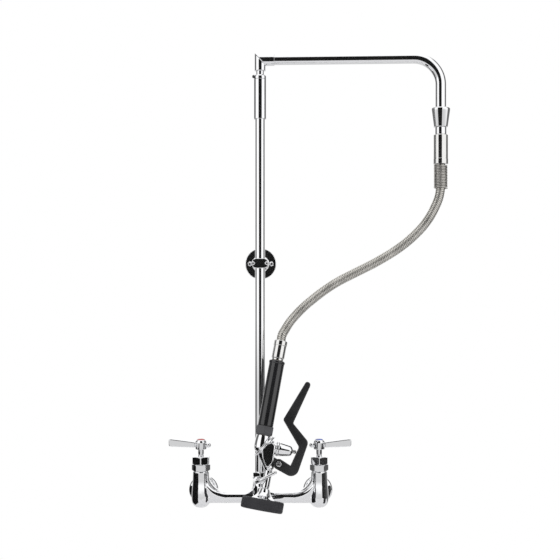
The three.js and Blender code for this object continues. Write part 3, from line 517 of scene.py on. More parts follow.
markLook = {"grain": 500, "rubbed": 0.4, "roughLow": 0.14, "roughHigh": 0.24, "shine": 0.5, "relief": 0.04}
finishes = {
    "chrome": polishedChrome("polishedChrome", {
        "tone": (0.965, 0.967, 0.975), "cloud": (0.925, 0.93, 0.945), "spot": 0.02, "wiped": 0.015,
        "roughLow": 0.015, "roughHigh": 0.04, "ripple": 0.01,
    }),
    "ferrule": workedMetal("turnedFerruleSteel", {
        "dark": (0.74, 0.735, 0.72), "light": (0.92, 0.915, 0.9), "grain": 420, "stretch": (0.15, 0.15, 5),
        "roughLow": 0.05, "roughHigh": 0.11, "relief": 0.03,
    }),
    "spring": workedMetal("coiledGuardSteel", {
        "dark": (0.34, 0.33, 0.31), "light": (0.78, 0.76, 0.72), "grain": 600, "stretch": (1, 1, 1),
        "roughLow": 0.2, "roughHigh": 0.36, "relief": 0.1,
    }),
    "hose": woundSteel("woundHoseSteel", {
        "crown": (0.72, 0.7, 0.655), "joint": (0.1, 0.095, 0.085), "roughLow": 0.22, "roughHigh": 0.36,
    }),
    "brass": workedMetal("valveBrass", {
        "dark": (0.4, 0.28, 0.12), "light": (0.74, 0.58, 0.3), "grain": 500, "stretch": (0.2, 0.2, 4),
        "roughLow": 0.25, "roughHigh": 0.4, "relief": 0.1,
    }),
    "steel": workedMetal("screwSteel", {
        "dark": (0.4, 0.4, 0.4), "light": (0.78, 0.78, 0.77), "grain": 500, "stretch": (1, 1, 1),
        "roughLow": 0.22, "roughHigh": 0.38, "relief": 0.08,
    }),
    "grip": moulded("gripPlastic", {
        "dark": (0.008, 0.008, 0.009), "light": (0.02, 0.02, 0.023), "grain": 950, "rubbed": 0.5,
        "roughLow": 0.13, "roughHigh": 0.22, "shine": 0.9, "relief": 0.05,
    }),
    "collar": moulded("collarPlastic", {
        "dark": (0.06, 0.06, 0.065), "light": (0.1, 0.1, 0.108), "grain": 800, "rubbed": 0.5,
        "roughLow": 0.34, "roughHigh": 0.48, "shine": 0.5, "relief": 0.1,
    }),
    "lever": moulded("leverCoat", {
        "dark": (0.014, 0.014, 0.015), "light": (0.034, 0.034, 0.036), "grain": 700, "rubbed": 0.6,
        "roughLow": 0.3, "roughHigh": 0.44, "shine": 0.5, "relief": 0.12,
    }),
    "rubber": moulded("bumperRubber", {
        "dark": (0.028, 0.028, 0.032), "light": (0.05, 0.05, 0.055), "grain": 620, "rubbed": 0.7,
        "roughLow": 0.6, "roughHigh": 0.78, "shine": 0.35, "relief": 0.2,
    }),
    "hotMark": moulded("hotMarkPlastic", {
        **markLook, "dark": (0.42, 0.02, 0.02), "light": (0.6, 0.05, 0.045),
    }),
    "coldMark": moulded("coldMarkPlastic", {
        **markLook, "dark": (0.02, 0.06, 0.4), "light": (0.05, 0.12, 0.58),
    }),
}


def place(piece, body, slotName="chrome", finish=None, node=None):
    # the finished piece takes its material, moves with its body and stands for a CAD node. Where no node is
    # named, it has the piece's own name in small letters, its words joined by underscores.
    node = node or "".join("_" + letter.lower() if letter.isupper() else letter for letter in piece.name)
    piece.data.materials.clear()
    piece.data.materials.append(finishes[finish or slotName])
    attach(piece, body)
    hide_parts(node)
    return piece


# camera, light and floor, in metres
studio = {
    "eye": (0.0343, -1.865, 0.3734),
    "lens": 67.25,
    "brightness": 1.06,
    "sideTone": 0.14,  # of the grey to each side
    "sideFrom": 84.0,  # degrees round from straight ahead
    "sideTo": 132.0,
    "sideTop": 50.0,  # degrees above and below the level where the grey fades out
    "lowTone": 0.62,
    "lowFrom": -7.0,  # degrees above the level
    "lowTo": -1.5,
    "floorLevel": -0.32,
    "floorTones": [(0.8, 0.8, 0.81), (0.84, 0.84, 0.85)],
}
# cards round the object that only its own reflections show: four corners and a tone
cards = {
    "darkScreen": [
        (-0.31, -0.81, 0.04), (0.39, -0.81, 0.04), (0.5, -0.81, 1.28), (-0.43, -0.81, 1.28), 0.016,
    ],
    "leftCard": [
        (-0.36, -0.5, -0.31), (-0.36, 0.1, -0.31), (-0.36, 0.1, 0.035), (-0.36, -0.5, 0.035), 0.012,
    ],
    "rightStrip": [
        (0.41, -0.5, -0.065), (0.41, -0.3, -0.065), (0.41, -0.3, 0.02), (0.41, -0.5, 0.02), 0.012,
    ],
    "rightCard": [
        (0.41, -0.3, -0.31), (0.41, -0.08, -0.31), (0.41, -0.08, 0.05), (0.41, -0.3, 0.05), 0.05,
    ],
}


def makeCamera():
    data = bpy.data.cameras.new("viewpoint")
    data.lens = studio["lens"]
    data.sensor_width = 36
    data.clip_start = 0.01
    camera = linked("viewpoint", data)
    camera.location = studio["eye"]
    camera.rotation_euler = (math.pi / 2, 0, 0)
    bpy.context.scene.camera = camera


def makeWorld():
    # white light from everywhere, but for a grey part at each side and a paler grey low down. What the eye
    # sees past the object is plain white.
    world = bpy.data.worlds.new("studio")
    bpy.context.scene.world = world
    sky = Nodes(world)
    sky.tree.nodes.clear()

    def multiplied(first, second):
        return sky.maths("MULTIPLY", first, second)

    def without(value):
        return sky.maths("SUBTRACT", 1.0, value)

    facing = sky.node("ShaderNodeTexCoord").outputs["Generated"]
    x, y, z = sky.node("ShaderNodeSeparateXYZ", {0: facing}).outputs[:3]
    toDegrees = 180 / math.pi
    azimuth = multiplied(sky.maths("ARCTAN2", x, multiplied(y, -1.0)), toDegrees)
    height = multiplied(sky.maths("ARCSINE", z), toDegrees)
    away = sky.maths("ABSOLUTE", azimuth)
    above = sky.maths("ABSOLUTE", height)
    sideFrom, sideTo, sideTop = studio["sideFrom"], studio["sideTo"], studio["sideTop"]
    beside = sky.spread(away, sideFrom - 4, sideFrom + 2)
    beside = multiplied(beside, without(sky.spread(away, sideTo - 4, sideTo + 12)))
    beside = multiplied(beside, without(sky.spread(above, sideTop, sideTop + 10)))
    risen = sky.spread(height, studio["lowFrom"], studio["lowTo"])
    tone = sky.maths("ADD", studio["lowTone"], multiplied(risen, 1.0 - studio["lowTone"]))
    tone = multiplied(tone, without(multiplied(beside, 1.0 - studio["sideTone"])))
    shown = sky.node("ShaderNodeBackground", {"Strength": studio["brightness"], "Color": tone})
    seen = sky.node("ShaderNodeBackground", {"Color": (1, 1, 1, 1)})
    toEye = sky.node("ShaderNodeLightPath").outputs["Is Camera Ray"]
    choice = sky.node("ShaderNodeMixShader", {0: toEye, 1: shown.outputs[0], 2: seen.outputs[0]})
    sky.node("ShaderNodeOutputWorld", {"Surface": choice.outputs[0]})


def flatSheet(name, corners, tones, finish):
    # four corners as one face, its paint mottled between two tones
    mesh = bpy.data.meshes.new(name)
    mesh.from_pydata(corners, [], [(0, 1, 2, 3)])
    shader = Shader(name + "Paint")
    shader.fill(shader.skin, {"Base Color": shader.blendColour(shader.noise(4, 3), *tones), **finish})
    mesh.materials.append(shader.material)
    return linked(name, mesh)


def makeCard(name, corners, tone):
    # a flat card that is only seen in the object's reflections
    tones = [(tone * share,) * 3 for share in (0.92, 1.08)]
    card = flatSheet(name, corners, tones, {"Roughness": 0.9, "Specular IOR Level": 0.0})
    card.visible_camera = False
    card.visible_diffuse = False
    card.visible_shadow = False
    card.visible_transmission = False


def makeFloor():
    # a plain pale floor well under the object
    corners = [(x, y, studio["floorLevel"]) for x, y in ((-1.6, -1.6), (1.6, -1.6), (1.6, 0.3), (-1.6, 0.3))]
    floor = flatSheet("floor", corners, studio["floorTones"], {"Roughness": 0.8})


makeCamera()
makeWorld()
makeFloor()
for cardName, (*cardCorners, cardTone) in cards.items():
    makeCard(cardName, cardCorners, cardTone)
bpy.context.scene.view_settings.view_transform = "Standard"
print("faucet: camera, light and floor")

# the hose
hoseLook = {
    "radius": 8.0,
    "ridgePitch": 3.1,
    "ridgeDepth": 0.75,
    "ringsPerRidge": 9,
    "sides": 56,
    "bendsBelow": (0.3, -0.082, 0.52),  # metres: a point on the hose, by its upper bend
}
# its centreline from the upper ferrule down to the valve
hoseRoute = [
    (308.3, -81.2, 570.7), (308.3, -81.2, 552), (308.1, -81.2, 532), (305.2, -80.8, 514),
    (298.9, -80.2, 498.1), (290.6, -79.4, 482.2), (279.9, -78.1, 466.8), (266.7, -76.6, 452.4),
    (251.5, -75, 438.5), (234.3, -73.1, 425.5), (215.5, -71.1, 413.5), (195.6, -69.1, 402),
    (174.5, -67.2, 391.3), (153.3, -65.7, 380.7), (131.9, -64.5, 369.4), (111.5, -63.7, 356.1),
    (93, -63.5, 342.1), (75.9, -63.9, 327.7), (61.1, -64.9, 312.7), (50.8, -66, 300.4), (43.5, -67.3, 288.8),
]


def makeHose():
    # r(s) = R - depth * (1 - |sin(pi s / pitch)|)^2.2 : full crowns with narrow joints between the turns
    hoseEnd = np.array(joints["valve_swing"]["pos_m"]) * 1000
    route = [np.array(point, float) for point in hoseRoute] + [hoseEnd + 9 * gripAxis, hoseEnd]
    length = float(np.sum(np.linalg.norm(np.diff(smoothLine(route, 400), axis=0), axis=1)))
    count = int(length / hoseLook["ridgePitch"]) * hoseLook["ringsPerRidge"]
    path = smoothLine(route, count)
    run = np.linspace(0, length, count)
    ridge = 1 - (1 - np.abs(np.sin(np.pi * run / hoseLook["ridgePitch"]))) ** 2.2
    radius = hoseLook["radius"] - hoseLook["ridgeDepth"] * (1 - ridge)
    hose = alongPath("flexibleHose", path, radius, axisY, hoseLook["sides"], marks={"ridge": ridge})
    hose.data.materials.append(finishes["hose"])
    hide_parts("spray_hose")
    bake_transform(hose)
    print("faucet: hose", round(length), "mm")


makeHose()

# the mixer's body. A profile's numbers here and below are radius, height along its axis and rounding.
bodyLook = {
    "bridgeRadius": 10.0,
    "sweepRadius": 44.0,
    "sweepFrom": 12.6,  # radius of the sweep at the barrel, and where it meets the bridge
    "sweepTo": 10.2,
    "inletRadius": 10.5,
    "webDepth": 16.0,
    "grain": 0.8,  # size of the casting's skin cells
    "soften": 12,
}
halfCentres = abs(joints["hot_handle_turn"]["pos_m"][0]) * 1000
barrelLine = [
    (0, -17.4, 0), (7, -17, 3), (12, -14.2, 3), (15.5, -8.8, 3), (16.4, -2, 4), (15.7, 12, 5), (14.5, 26, 5),
    (13.9, 44, 1), (13.9, 45.6, 0.9), (0, 45.6, 0),
]
bossLine = [
    (0, -13, 0), (8, -12, 3), (12.5, -6, 4), (13.5, 2, 4), (13.5, 14, 4), (12.8, 21, 3), (12, 26, 2),
    (12, 32.3, 0.7), (0, 32.3, 0),
]
webLine = curveThrough(
    (-24, 0), (-24, 9.2), ((-13.5, 9.2), (-12, 20)), (12, 20), ((13.5, 9.2), (24, 9.2)), (24, 0),
)


def makeBody():
    # lathe shapes, swept quarter rings and a web, run together as one casting
    wall = -mixerSetting[0][1]
    bridgeSetting = (mixerSetting[0], axisY, axisZ, axisX)
    web = np.concatenate([webLine, [[8, 0], [-8, 0]]])
    parts = [
        rod("part", bridgeSetting, bodyLook["bridgeRadius"], -halfCentres, halfCentres),
        lathe("part", mixerSetting, bossLine),
        slab("part", mixerSetting, web, bodyLook["webDepth"], 3),
    ]
    steps = 40
    t = np.linspace(0, np.pi / 2, steps)
    sweep = bodyLook["sweepRadius"]
    for side in (-1, 1):
        spot = slid(mixerSetting, side * halfCentres)
        parts.append(lathe("part", spot, barrelLine))
        inlet = (spot[0], axisX, axisZ, axisY)
        parts.append(rod("part", inlet, bodyLook["inletRadius"], 0, wall - 1))
        x = side * (halfCentres - sweep + sweep * np.cos(t))
        arc = np.stack([x, np.zeros(steps), sweep - sweep * np.sin(t)], axis=1) + mixerSetting[0]
        thickness = np.linspace(bodyLook["sweepFrom"], bodyLook["sweepTo"], steps)
        parts.append(alongPath("part", arc, thickness, axisY))
    piece = cast("bodyCasting", parts, bodyLook["grain"], bodyLook["soften"])
    place(piece, "faucet", node="faucet_body")


makeBody()
print("faucet: mixer body")

# valves and handles. A rod's three numbers are its radius and its two ends.
valveLook = {
    "flange": [
        (10.8, 0, 0), (26, 0, 0.4), (26, -2, 1.2), (24, -4.5, 1.5), (19.5, -7, 3), (14.5, -8.6, 2),
        (13.6, -12.5, 0.6), (10.8, -12.5, 0),
    ],
    "bonnetNut": {"flats": 28, "low": 45.9, "high": 56.9, "bore": 5.3, "turn": 0},
    "packingNut": {"flats": 28.4, "low": 57.2, "high": 70.5, "bore": 5.3, "turn": 30},
    "stem": [
        (0, 16, 0), (5, 16, 0.5), (5, 72, 0.2), (4.6, 72.4, 0.2), (4.6, 74, 0.2), (5, 74.4, 0.2),
        (5, 90.5, 0.4), (0, 90.5, 0),
    ],
    "hub": [(0, 82.4, 0), (9.5, 82.4, 1.2), (9.5, 95.6, 2), (8.7, 97.8, 1.2), (7.3, 98.9, 0.8), (0, 98.9, 0)],
    "cap": [(0, 94.9, 0), (6.7, 94.9, 0.3), (6.7, 98.9, 0.6), (5.4, 99.7, 1), (3, 100.1, 1), (0, 100.2, 0)],
    "capRecess": (7, 94.6, 104),
    "stemHole": (5.3, 75, 90.8),
    "paddleHeight": 91.5,
    "paddleStart": 10.1,
    "paddleLength": 55.0,
    "paddleWidth": 15.0,
    "neck": (4.4, 6, 15),
    "tail": (3, -13, -6),
    "tailDrop": 2.0,
    "tailEnd": 12.6,
    "tailBall": 4.6,
    "grain": 0.45,
    "soften": 6,
}


def makeHandle(name, base):
    height, inner, end = valveLook["paddleHeight"], valveLook["paddleStart"], valveLook["paddleLength"]
    outline = curveThrough(
        (inner, height - 5.4), (end - 4, height - 3.8), ((end, height - 3.6), (end, height + 0.4)),
        (end, height + 5.8), ((end, height + 9.6), (end - 4, height + 9.3)),
        ((32, height + 7), (inner, height + 3.8)), (inner, height - 4.4),
    )
    origin, forward = base[:2]
    tailHeight = (height - valveLook["tailDrop"]) * axisZ
    neckSetting = (origin + height * axisZ, axisY, axisZ, forward)
    tailSetting = (origin + tailHeight, axisY, axisZ, forward)
    parts = [
        lathe("part", base, valveLook["hub"]),
        rod("part", neckSetting, *valveLook["neck"], sides=64),
        slab("part", base, outline, valveLook["paddleWidth"], 1.2, 8),
        rod("part", tailSetting, *valveLook["tail"], sides=48),
        ball("part", origin - valveLook["tailEnd"] * forward + tailHeight, valveLook["tailBall"]),
    ]
    handle = cast(name, parts, valveLook["grain"], valveLook["soften"])
    tools = [rod("tool", base, *valveLook[key], cut=0) for key in ("capRecess", "stemHole")]
    return cutBy(handle, *tools)


def makeValve(word, side, body):
    spot = slid(mixerSetting, side * halfCentres)
    wallSpot = (np.array([spot[0][0], 0, 0]), axisX, axisZ, axisY)
    place(lathe(word + "WallFlange", wallSpot, valveLook["flange"]), "faucet")
    place(hexTurned(word + "BonnetNut", spot, valveLook["bonnetNut"]), "faucet")
    place(hexTurned(word + "PackingNut", spot, valveLook["packingNut"]), "faucet")
    base = (spot[0], side * axisX, side * axisY, axisZ)
    place(lathe(word + "Stem", base, valveLook["stem"], 64), body)
    place(makeHandle(word + "Handle", base), body)
    place(lathe(word + "IndexCap", base, valveLook["cap"], 80), body, word + "_mark", word + "Mark")


makeValve("hot", -1, "hot_lever")
makeValve("cold", 1, "cold_lever")
print("faucet: valves and handles")

# the riser, its coupling nut and the finger hook
riserLook = {
    "tube": [(6.3, 15.2, 0), (8.55, 15.2, 0.2), (8.55, 689.7, 0.2), (6.3, 689.7, 0)],
    "couplingNut": {"flats": 23.5, "low": 35.6, "high": 44, "bore": 8.85, "turn": 30},
    "hookPlate": [(8.85, 32.6, 0), (13, 32.6, 0.6), (13, 35.3, 0.6), (8.85, 35.3, 0)],
    "hookLevel": 33.95,
    "hookDepth": 2.7,
    "hookBar": 2.75,
    "hookPath": [
        (-6.6, -9, 33.95), (-7, -17, 33.95), (-8.4, -26.5, 33.95), (-8.4, -42, 34.25), (-6.6, -56, 36.55),
        (0.5, -65.8, 40.95), (9, -67.6, 45.55), (18, -67.4, 50.15), (26.5, -66.8, 54.15),
    ],
    "grain": 0.35,
    "soften": 4,
}


def makeRiser():
    place(lathe("riserTube", mixerSetting, riserLook["tube"], 128), "faucet")
    place(hexTurned("couplingNut", mixerSetting, riserLook["couplingNut"]), "faucet")
    path = smoothLine(riserLook["hookPath"], 160) + mixerSetting[0]
    tongue = curveThrough((-10, -18.5), (-4, -18.5), (-4, -9.6), (-8.4, -8.6), (-10, -9), (-10, -17.4))
    level = (mixerSetting[0] + riserLook["hookLevel"] * axisZ, axisX, axisZ, axisY)
    parts = [
        alongPath("part", path, riserLook["hookBar"], axisZ, 36),
        lathe("part", mixerSetting, riserLook["hookPlate"], 96),
        slab("part", level, tongue, riserLook["hookDepth"], 0.6, 4),
        ball("part", path[-1], riserLook["hookBar"], 36),
    ]
    place(cast("fingerHook", parts, riserLook["grain"], riserLook["soften"]), "faucet")


makeRiser()
print("faucet: riser and finger hook")

# the wall bracket
bracketLook = {
    "flange": [
        (0, 0, 0), (27.5, 0, 0.4), (27.5, -4, 0.5), (26.9, -4.5, 0.5), (14, -5.9, 2), (9.6, -9.6, 2),
        (9.6, -17, 0.8), (0, -17, 0),
    ],
    "rod": (5.5, -54.2, -6.3),
    "flangeSocket": (5.8, -18, -6),
    "clampSocket": (5.8, 10.5, 20),
    "clampWidth": 29.0,
    "clampHeight": 17.0,
    "clampFront": -14.0,
    "clampRear": 15.0,
    "halfGap": 0.3,
    "riserBore": 8.85,
    "clampScrewAt": 11.6,
    "clampScrew": {"radius": 3.1, "height": 2.4, "shank": 1.7, "foot": 12},
    "clampScrewHole": 2.1,
    "clampScrewHoleEnd": 12.5,
    "wallScrewAt": 19.0,
    "wallScrew": {"radius": 4.2, "height": 3.3, "shank": 2, "foot": -0.3},
    "wallScrewSeat": -4.7,
    "wallScrewHole": (4.7, -9, -4.4),
}


def makeClamp(name, base, low, high):
    # a stadium outline given depth, with the riser's bore and the two screws' holes through it
    tall = bracketLook["clampHeight"] / 2
    reach = bracketLook["clampWidth"] / 2 - tall
    t = np.linspace(-np.pi / 2, np.pi / 2, 40)
    right = np.stack([reach + tall * np.cos(t), tall * np.sin(t)], axis=1)
    between = np.linspace(reach, -reach, 14)[1:-1]
    top = np.stack([between, np.full(len(between), tall)], axis=1)
    outline = np.concatenate([right, top, -right, -top])
    block = slab(name, slid(base, second=(low + high) / 2), outline, high - low, 1.1)
    tools = [rod("tool", base, bracketLook["riserBore"], -tall - 4, tall + 4, cut=0)]
    hole = (bracketLook["clampScrewHole"], low - 5, bracketLook["clampScrewHoleEnd"])
    for x in (-bracketLook["clampScrewAt"], bracketLook["clampScrewAt"]):
        spot = (base[0] + x * axisX, axisX, axisZ, axisY)
        tools.append(rod("tool", spot, *hole, cut=0, sides=32))
    return cutBy(block, *tools)


def makeScrew(name, base, seat, sizes, sides):
    # a domed head on a shank
    radius, height, shank, foot = (sizes[key] for key in ("radius", "height", "shank", "foot"))
    line = [
        (0, seat - height, 0), (radius * 0.62, seat - height * 0.93, 0.6),
        (radius, seat - height * 0.35, 0.5), (radius, seat, 0.2), (shank, seat, 0), (shank, foot, 0.3),
        (0, foot, 0),
    ]
    place(lathe(name, base, line, sides), "faucet")


def makeBracket():
    origin = np.array([mixerSetting[0][0], mixerSetting[0][1], middle("bracket_front_clamp")[2]])
    base = (origin, axisX, axisY, axisZ)
    inwards = (origin, axisX, axisZ, axisY)
    wallSpot = (np.array([origin[0], 0, origin[2]]), axisX, axisZ, axisY)
    tools = [rod("tool", wallSpot, *bracketLook["flangeSocket"], cut=0)]
    for x in (-bracketLook["wallScrewAt"], bracketLook["wallScrewAt"]):
        tools.append(rod("tool", slid(wallSpot, x), *bracketLook["wallScrewHole"], cut=0, sides=48))
    place(cutBy(lathe("bracketWallFlange", wallSpot, bracketLook["flange"]), *tools), "faucet")
    place(rod("bracketRod", wallSpot, *bracketLook["rod"]), "faucet")
    gap = bracketLook["halfGap"]
    place(makeClamp("bracketFrontClamp", base, bracketLook["clampFront"], -gap), "faucet")
    rear = makeClamp("bracketRearClamp", base, gap, bracketLook["clampRear"])
    place(cutBy(rear, rod("tool", inwards, *bracketLook["clampSocket"], cut=0)), "faucet")
    for word, side in (("Left", -1), ("Right", 1)):
        spot = slid(inwards, side * bracketLook["clampScrewAt"])
        seat = bracketLook["clampFront"] - gap
        makeScrew("bracketClampScrew" + word, spot, seat, bracketLook["clampScrew"], 56)
        spot = slid(wallSpot, side * bracketLook["wallScrewAt"])
        seat = bracketLook["wallScrewSeat"]
        makeScrew("bracketWallScrew" + word, spot, seat, bracketLook["wallScrew"], 64)


makeBracket()
print("faucet: wall bracket")

# the swivel and the overhead arm
armLook = {
    "sleeve": [
        (11, 650, 0.8), (11, 718.5, 0.5), (9, 718.5, 0), (9, 693.2, 0), (6.3, 693.2, 0), (6.3, 690, 0),
        (8.85, 690, 0), (8.85, 650, 0.3),
    ],
    "cap": [(7.2, 718.8, 0), (11, 718.8, 0.4), (11, 723.8, 1), (9.4, 726, 0.8), (7.2, 726, 0)],
    "setScrew": [
        (0, 7.6, 0), (1.7, 7.6, 0.2), (1.7, 11.3, 0), (2.7, 11.3, 0.2), (2.7, 13.3, 0.5), (1.8, 14.1, 0.4),
        (0, 14.1, 0),
    ],
    "setScrewHeight": 722.45,
    "setScrewHeading": -0.86 * math.pi,
    "elbowUpright": 9.75,
    "elbowLevel": 10.85,
    "elbowFoot": 733.0,
    "elbowReach": 25.0,
    "spigot": (6.9, 716, 737),
    "tube": 9.5,
    "tubeStart": 13.0,
    "tubeFoot": 649.0,
    "bend": 46.0,
    "coneNut": [
        (9.8, 667.2, 0), (14, 667.2, 0.8), (16, 666.4, 0.9), (16.7, 664.8, 1.2), (16.4, 662.2, 1.2),
        (12.4, 634.6, 0.6), (11.8, 634, 0.3), (6.8, 634, 0), (6.8, 639, 0), (9.8, 639, 0),
    ],
    "nipple": [
        (4.6, 621.5, 0), (10, 621.5, 0.6), (10, 633.7, 0.6), (6.4, 633.7, 0), (6.4, 644, 0), (4.6, 644, 0),
    ],
    "ferrule": [
        (5, 571, 0), (12.9, 571, 0.5), (13, 572, 0.6), (13, 580, 0.3), (12.7, 580.6, 0.3), (12.7, 620.2, 0.6),
        (11.7, 621.2, 0.4), (5, 621.2, 0),
    ],
    "coilRadius": 10.6,
    "coilWire": 1.2,
    "coilPitch": 2.7,
    "grain": 0.45,
    "soften": 4,
}


def mitredLeg(base, radius, otherRadius, overlap, end, sides=120):
    # a round leg from the mitre plane, where h = overlap - the other leg's radius * cos t, to its end
    angle = np.linspace(0, 2 * np.pi, sides, endpoint=False)
    mitre = overlap - otherRadius * np.cos(angle)
    heights = mitre + np.linspace(0, 1, 24)[:, None] * (end - mitre)
    rows = around(base, radius, heights[:, :, None], sides)
    start = np.broadcast_to(base[0], (1, sides, 3))
    stop = np.broadcast_to(base[0] + end * base[3], (1, sides, 3))
    return surface("part", np.concatenate([start, rows, stop]))


def makeElbow(axisHeight):
    # two legs that meet on their mitre plane, and the spigot that stands in the sleeve
    upright, level = armLook["elbowUpright"], armLook["elbowLevel"]
    origin, across, second, along = slid(armSetting, third=axisHeight)
    foot = armLook["elbowFoot"] - axisHeight
    legs = [
        mitredLeg((origin, across, second, along), upright, level, 0.2, foot),
        mitredLeg((origin, along, second, across), level, upright, -0.1, armLook["elbowReach"]),
        rod("part", armSetting, *armLook["spigot"]),
    ]
    return cast("armElbow", legs, armLook["grain"], armLook["soften"])


def makeArm():
    axisHeight = highest("overhead_arm")[2] - armLook["tube"]
    place(lathe("swivelSleeve", mixerSetting, armLook["sleeve"]), "faucet")
    place(lathe("swivelCap", mixerSetting, armLook["cap"]), "faucet")
    angle = armLook["setScrewHeading"]
    outwards = math.cos(angle) * axisX + math.sin(angle) * axisY
    screwSpot = setting(mixerSetting[0] + armLook["setScrewHeight"] * axisZ, axisZ, outwards)
    place(lathe("swivelSetScrew", screwSpot, armLook["setScrew"], 48), "faucet", "black_plastic", "grip")
    place(makeElbow(axisHeight), "arm")
    t = np.linspace(0, np.pi / 2, 64)
    bend = armLook["bend"]
    bendStart, bendFoot = armReach - bend, axisHeight - bend
    straight = np.linspace(armLook["tubeStart"], bendStart, 60)[:-1]
    down = np.linspace(bendFoot, armLook["tubeFoot"], 20)[1:]
    line = np.concatenate([
        np.stack([straight, np.full(len(straight), axisHeight)], axis=1),
        np.stack([bendStart + bend * np.sin(t), bendFoot + bend * np.cos(t)], axis=1),
        np.stack([np.full(len(down), armReach), down], axis=1),
    ])
    path = armSetting[0] + line[:, :1] * armSetting[1] + line[:, 1:] * axisZ
    place(alongPath("overheadArm", path, armLook["tube"], armSetting[2], 96), "arm")
    place(lathe("armConeNut", dropSetting, armLook["coneNut"]), "arm")
    place(lathe("hoseNipple", dropSetting, armLook["nipple"]), "arm")
    place(lathe("upperFerrule", dropSetting, armLook["ferrule"]), "arm", "steel", "ferrule")


def makeGuard():
    # a coil: c(t) = (R cos t, R sin t, h0 + pitch t / 2 pi), between the ends of the CAD's coil
    low, high = lowest("spring_guard")[2], highest("spring_guard")[2]
    wire, pitch = armLook["coilWire"], armLook["coilPitch"]
    turns = (high - low - 2 * wire) / pitch
    t = np.linspace(0, 2 * np.pi * turns, int(turns * 40))
    origin, across, second, along = dropSetting
    coil = armLook["coilRadius"] * (np.cos(t)[:, None] * across + np.sin(t)[:, None] * second)
    path = origin + coil + (low + wire + pitch * t / (2 * np.pi))[:, None] * along
    place(alongPath("springGuard", path, wire, axisZ, 14), "arm", "steel", "spring")


makeArm()
makeGuard()
print("faucet: swivel, arm and spring guard")

# the spray valve
sprayLook = {
    "ferrule": [
        (9, 146.2, 0), (9.8, 146.2, 0.3), (9.8, 149.2, 0.3), (11, 150.2, 0.6), (11.1, 171.4, 0.4),
        (11.6, 172.4, 0.5), (11.6, 179.6, 0.6), (10.8, 180.4, 0.4), (5, 180.4, 0), (5, 158, 0), (9, 158, 0),
    ],
    "grip": [
        (9, 33.3, 0), (12.6, 33.3, 0.6), (13, 34.3, 0.8), (12.8, 140.2, 0.8), (13.6, 141.7, 1),
        (13.6, 144.1, 1.2), (11.6, 145.7, 1), (9, 145.7, 0),
    ],
    "collar": {
        "flats": 28, "low": 18, "high": 33, "bore": 9, "turn": 30,
        "lowRadius": 12.6, "lowSlope": 0.975, "highRadius": 15.2, "highSlope": 3,
    },
    "upright": [
        (0, -13.5, 0), (5.5, -12.6, 3), (9.5, -10, 3), (12, -6, 3), (13, 0, 3), (13, 8, 3), (12.4, 14, 2),
        (11.8, 17.7, 0.6), (0, 17.7, 0),
    ],
    "bonnet": [
        (7, 25, 0), (12.4, 25, 0.4), (13, 25.6, 0.5), (13, 28.4, 0.7), (11.6, 29.4, 0.8), (11.9, 31, 1.2),
        (8.8, 48.2, 1), (7.6, 50.2, 1), (5.2, 52, 0.6), (3.3, 52, 0.2), (3.3, 45, 0), (7, 43, 0),
    ],
    "plunger": [
        (0, 2.4, 0), (3, 2.4, 0.2), (3, 31, 0), (6.4, 31, 0.2), (6.4, 33, 0.2), (3, 33, 0), (3, 57.3, 0.8),
        (1.8, 58.6, 0.8), (0, 58.9, 0),
    ],
    "head": [
        (3.8, -68.3, 0), (7.4, -68.3, 0.5), (8.2, -70.3, 1), (10.4, -75.8, 2.5), (14, -80.8, 2.5),
        (19, -84.7, 1.5), (21.1, -86.7, 0.8), (21.1, -102.9, 0.5), (18.8, -102.9, 0.4), (18.8, -92.5, 1),
        (9, -80.3, 2), (3.8, -74.3, 0),
    ],
    "face": [(0, -100.5, 0), (18.5, -100.5, 0.5), (18.5, -97.5, 0.3), (0, -97.5, 0)],
    "bumper": [(21.4, -104.5, 0.8), (35.4, -104.5, 4), (35.4, -85.5, 3.6), (21.4, -85.5, 0.8)],
    "pin": [
        (0, -10.6, 0), (2.2, -10.6, 0.5), (2.2, 7.3, 0), (4.2, 7.3, 0.3), (4.2, 9.2, 0.6), (2.6, 10, 0.6),
        (0, 10, 0),
    ],
    "pinNut": {"flats": 8.4, "low": -10.2, "high": -7.3, "bore": 2.5, "turn": 0},
    "cheek": [
        (-1, 3, 1), (4.4, -19.7, 1), (13, -33.5, 1.5), (17.5, -33.5, 1.5), (23, -23.5, 3), (22, 4, 3),
        (16, 8, 2),
    ],
    "cheekDepth": 25.0,
    "bonnetSocket": (11.8, 0, 24.7),
    "throatRadii": (12, 8.2),
    "throatFoot": -33.0,
    "neck": (6.6, -68, -30),
    "lugDepth": 6.0,
    "leverWidth": 14.0,
    "forkWidth": 7.0,
    "pinHole": (2.5, -12, 12),
    "holeRings": [(10, 12.5), (6, 7.0)],  # how many holes, on what radius
    "hole": (0.9, -102, -96),
    "ringRadius": 21.2,
    "ringWire": 1.9,
    "ringTilt": 53.8,
    "ringCentre": (5.2, 0.6),
    "grain": 0.5,
    "soften": 6,
}
pivot = np.array([33.3, -25.0])  # the lever's pin: along the bonnet's axis, and up the grip's


def valvePoint(along, up):
    return valveSetting[0] + along * valveSetting[1] + up * valveSetting[3]


sidewaysSetting = turnedSetting(valveSetting)
pinSetting = (valvePoint(*pivot), bonnetAxis, gripAxis, valveSide)


def pivotArc(radius, start, stop, count):
    t = np.linspace(start, stop, count)
    return pivot + radius * np.stack([np.cos(t), np.sin(t)], axis=1)


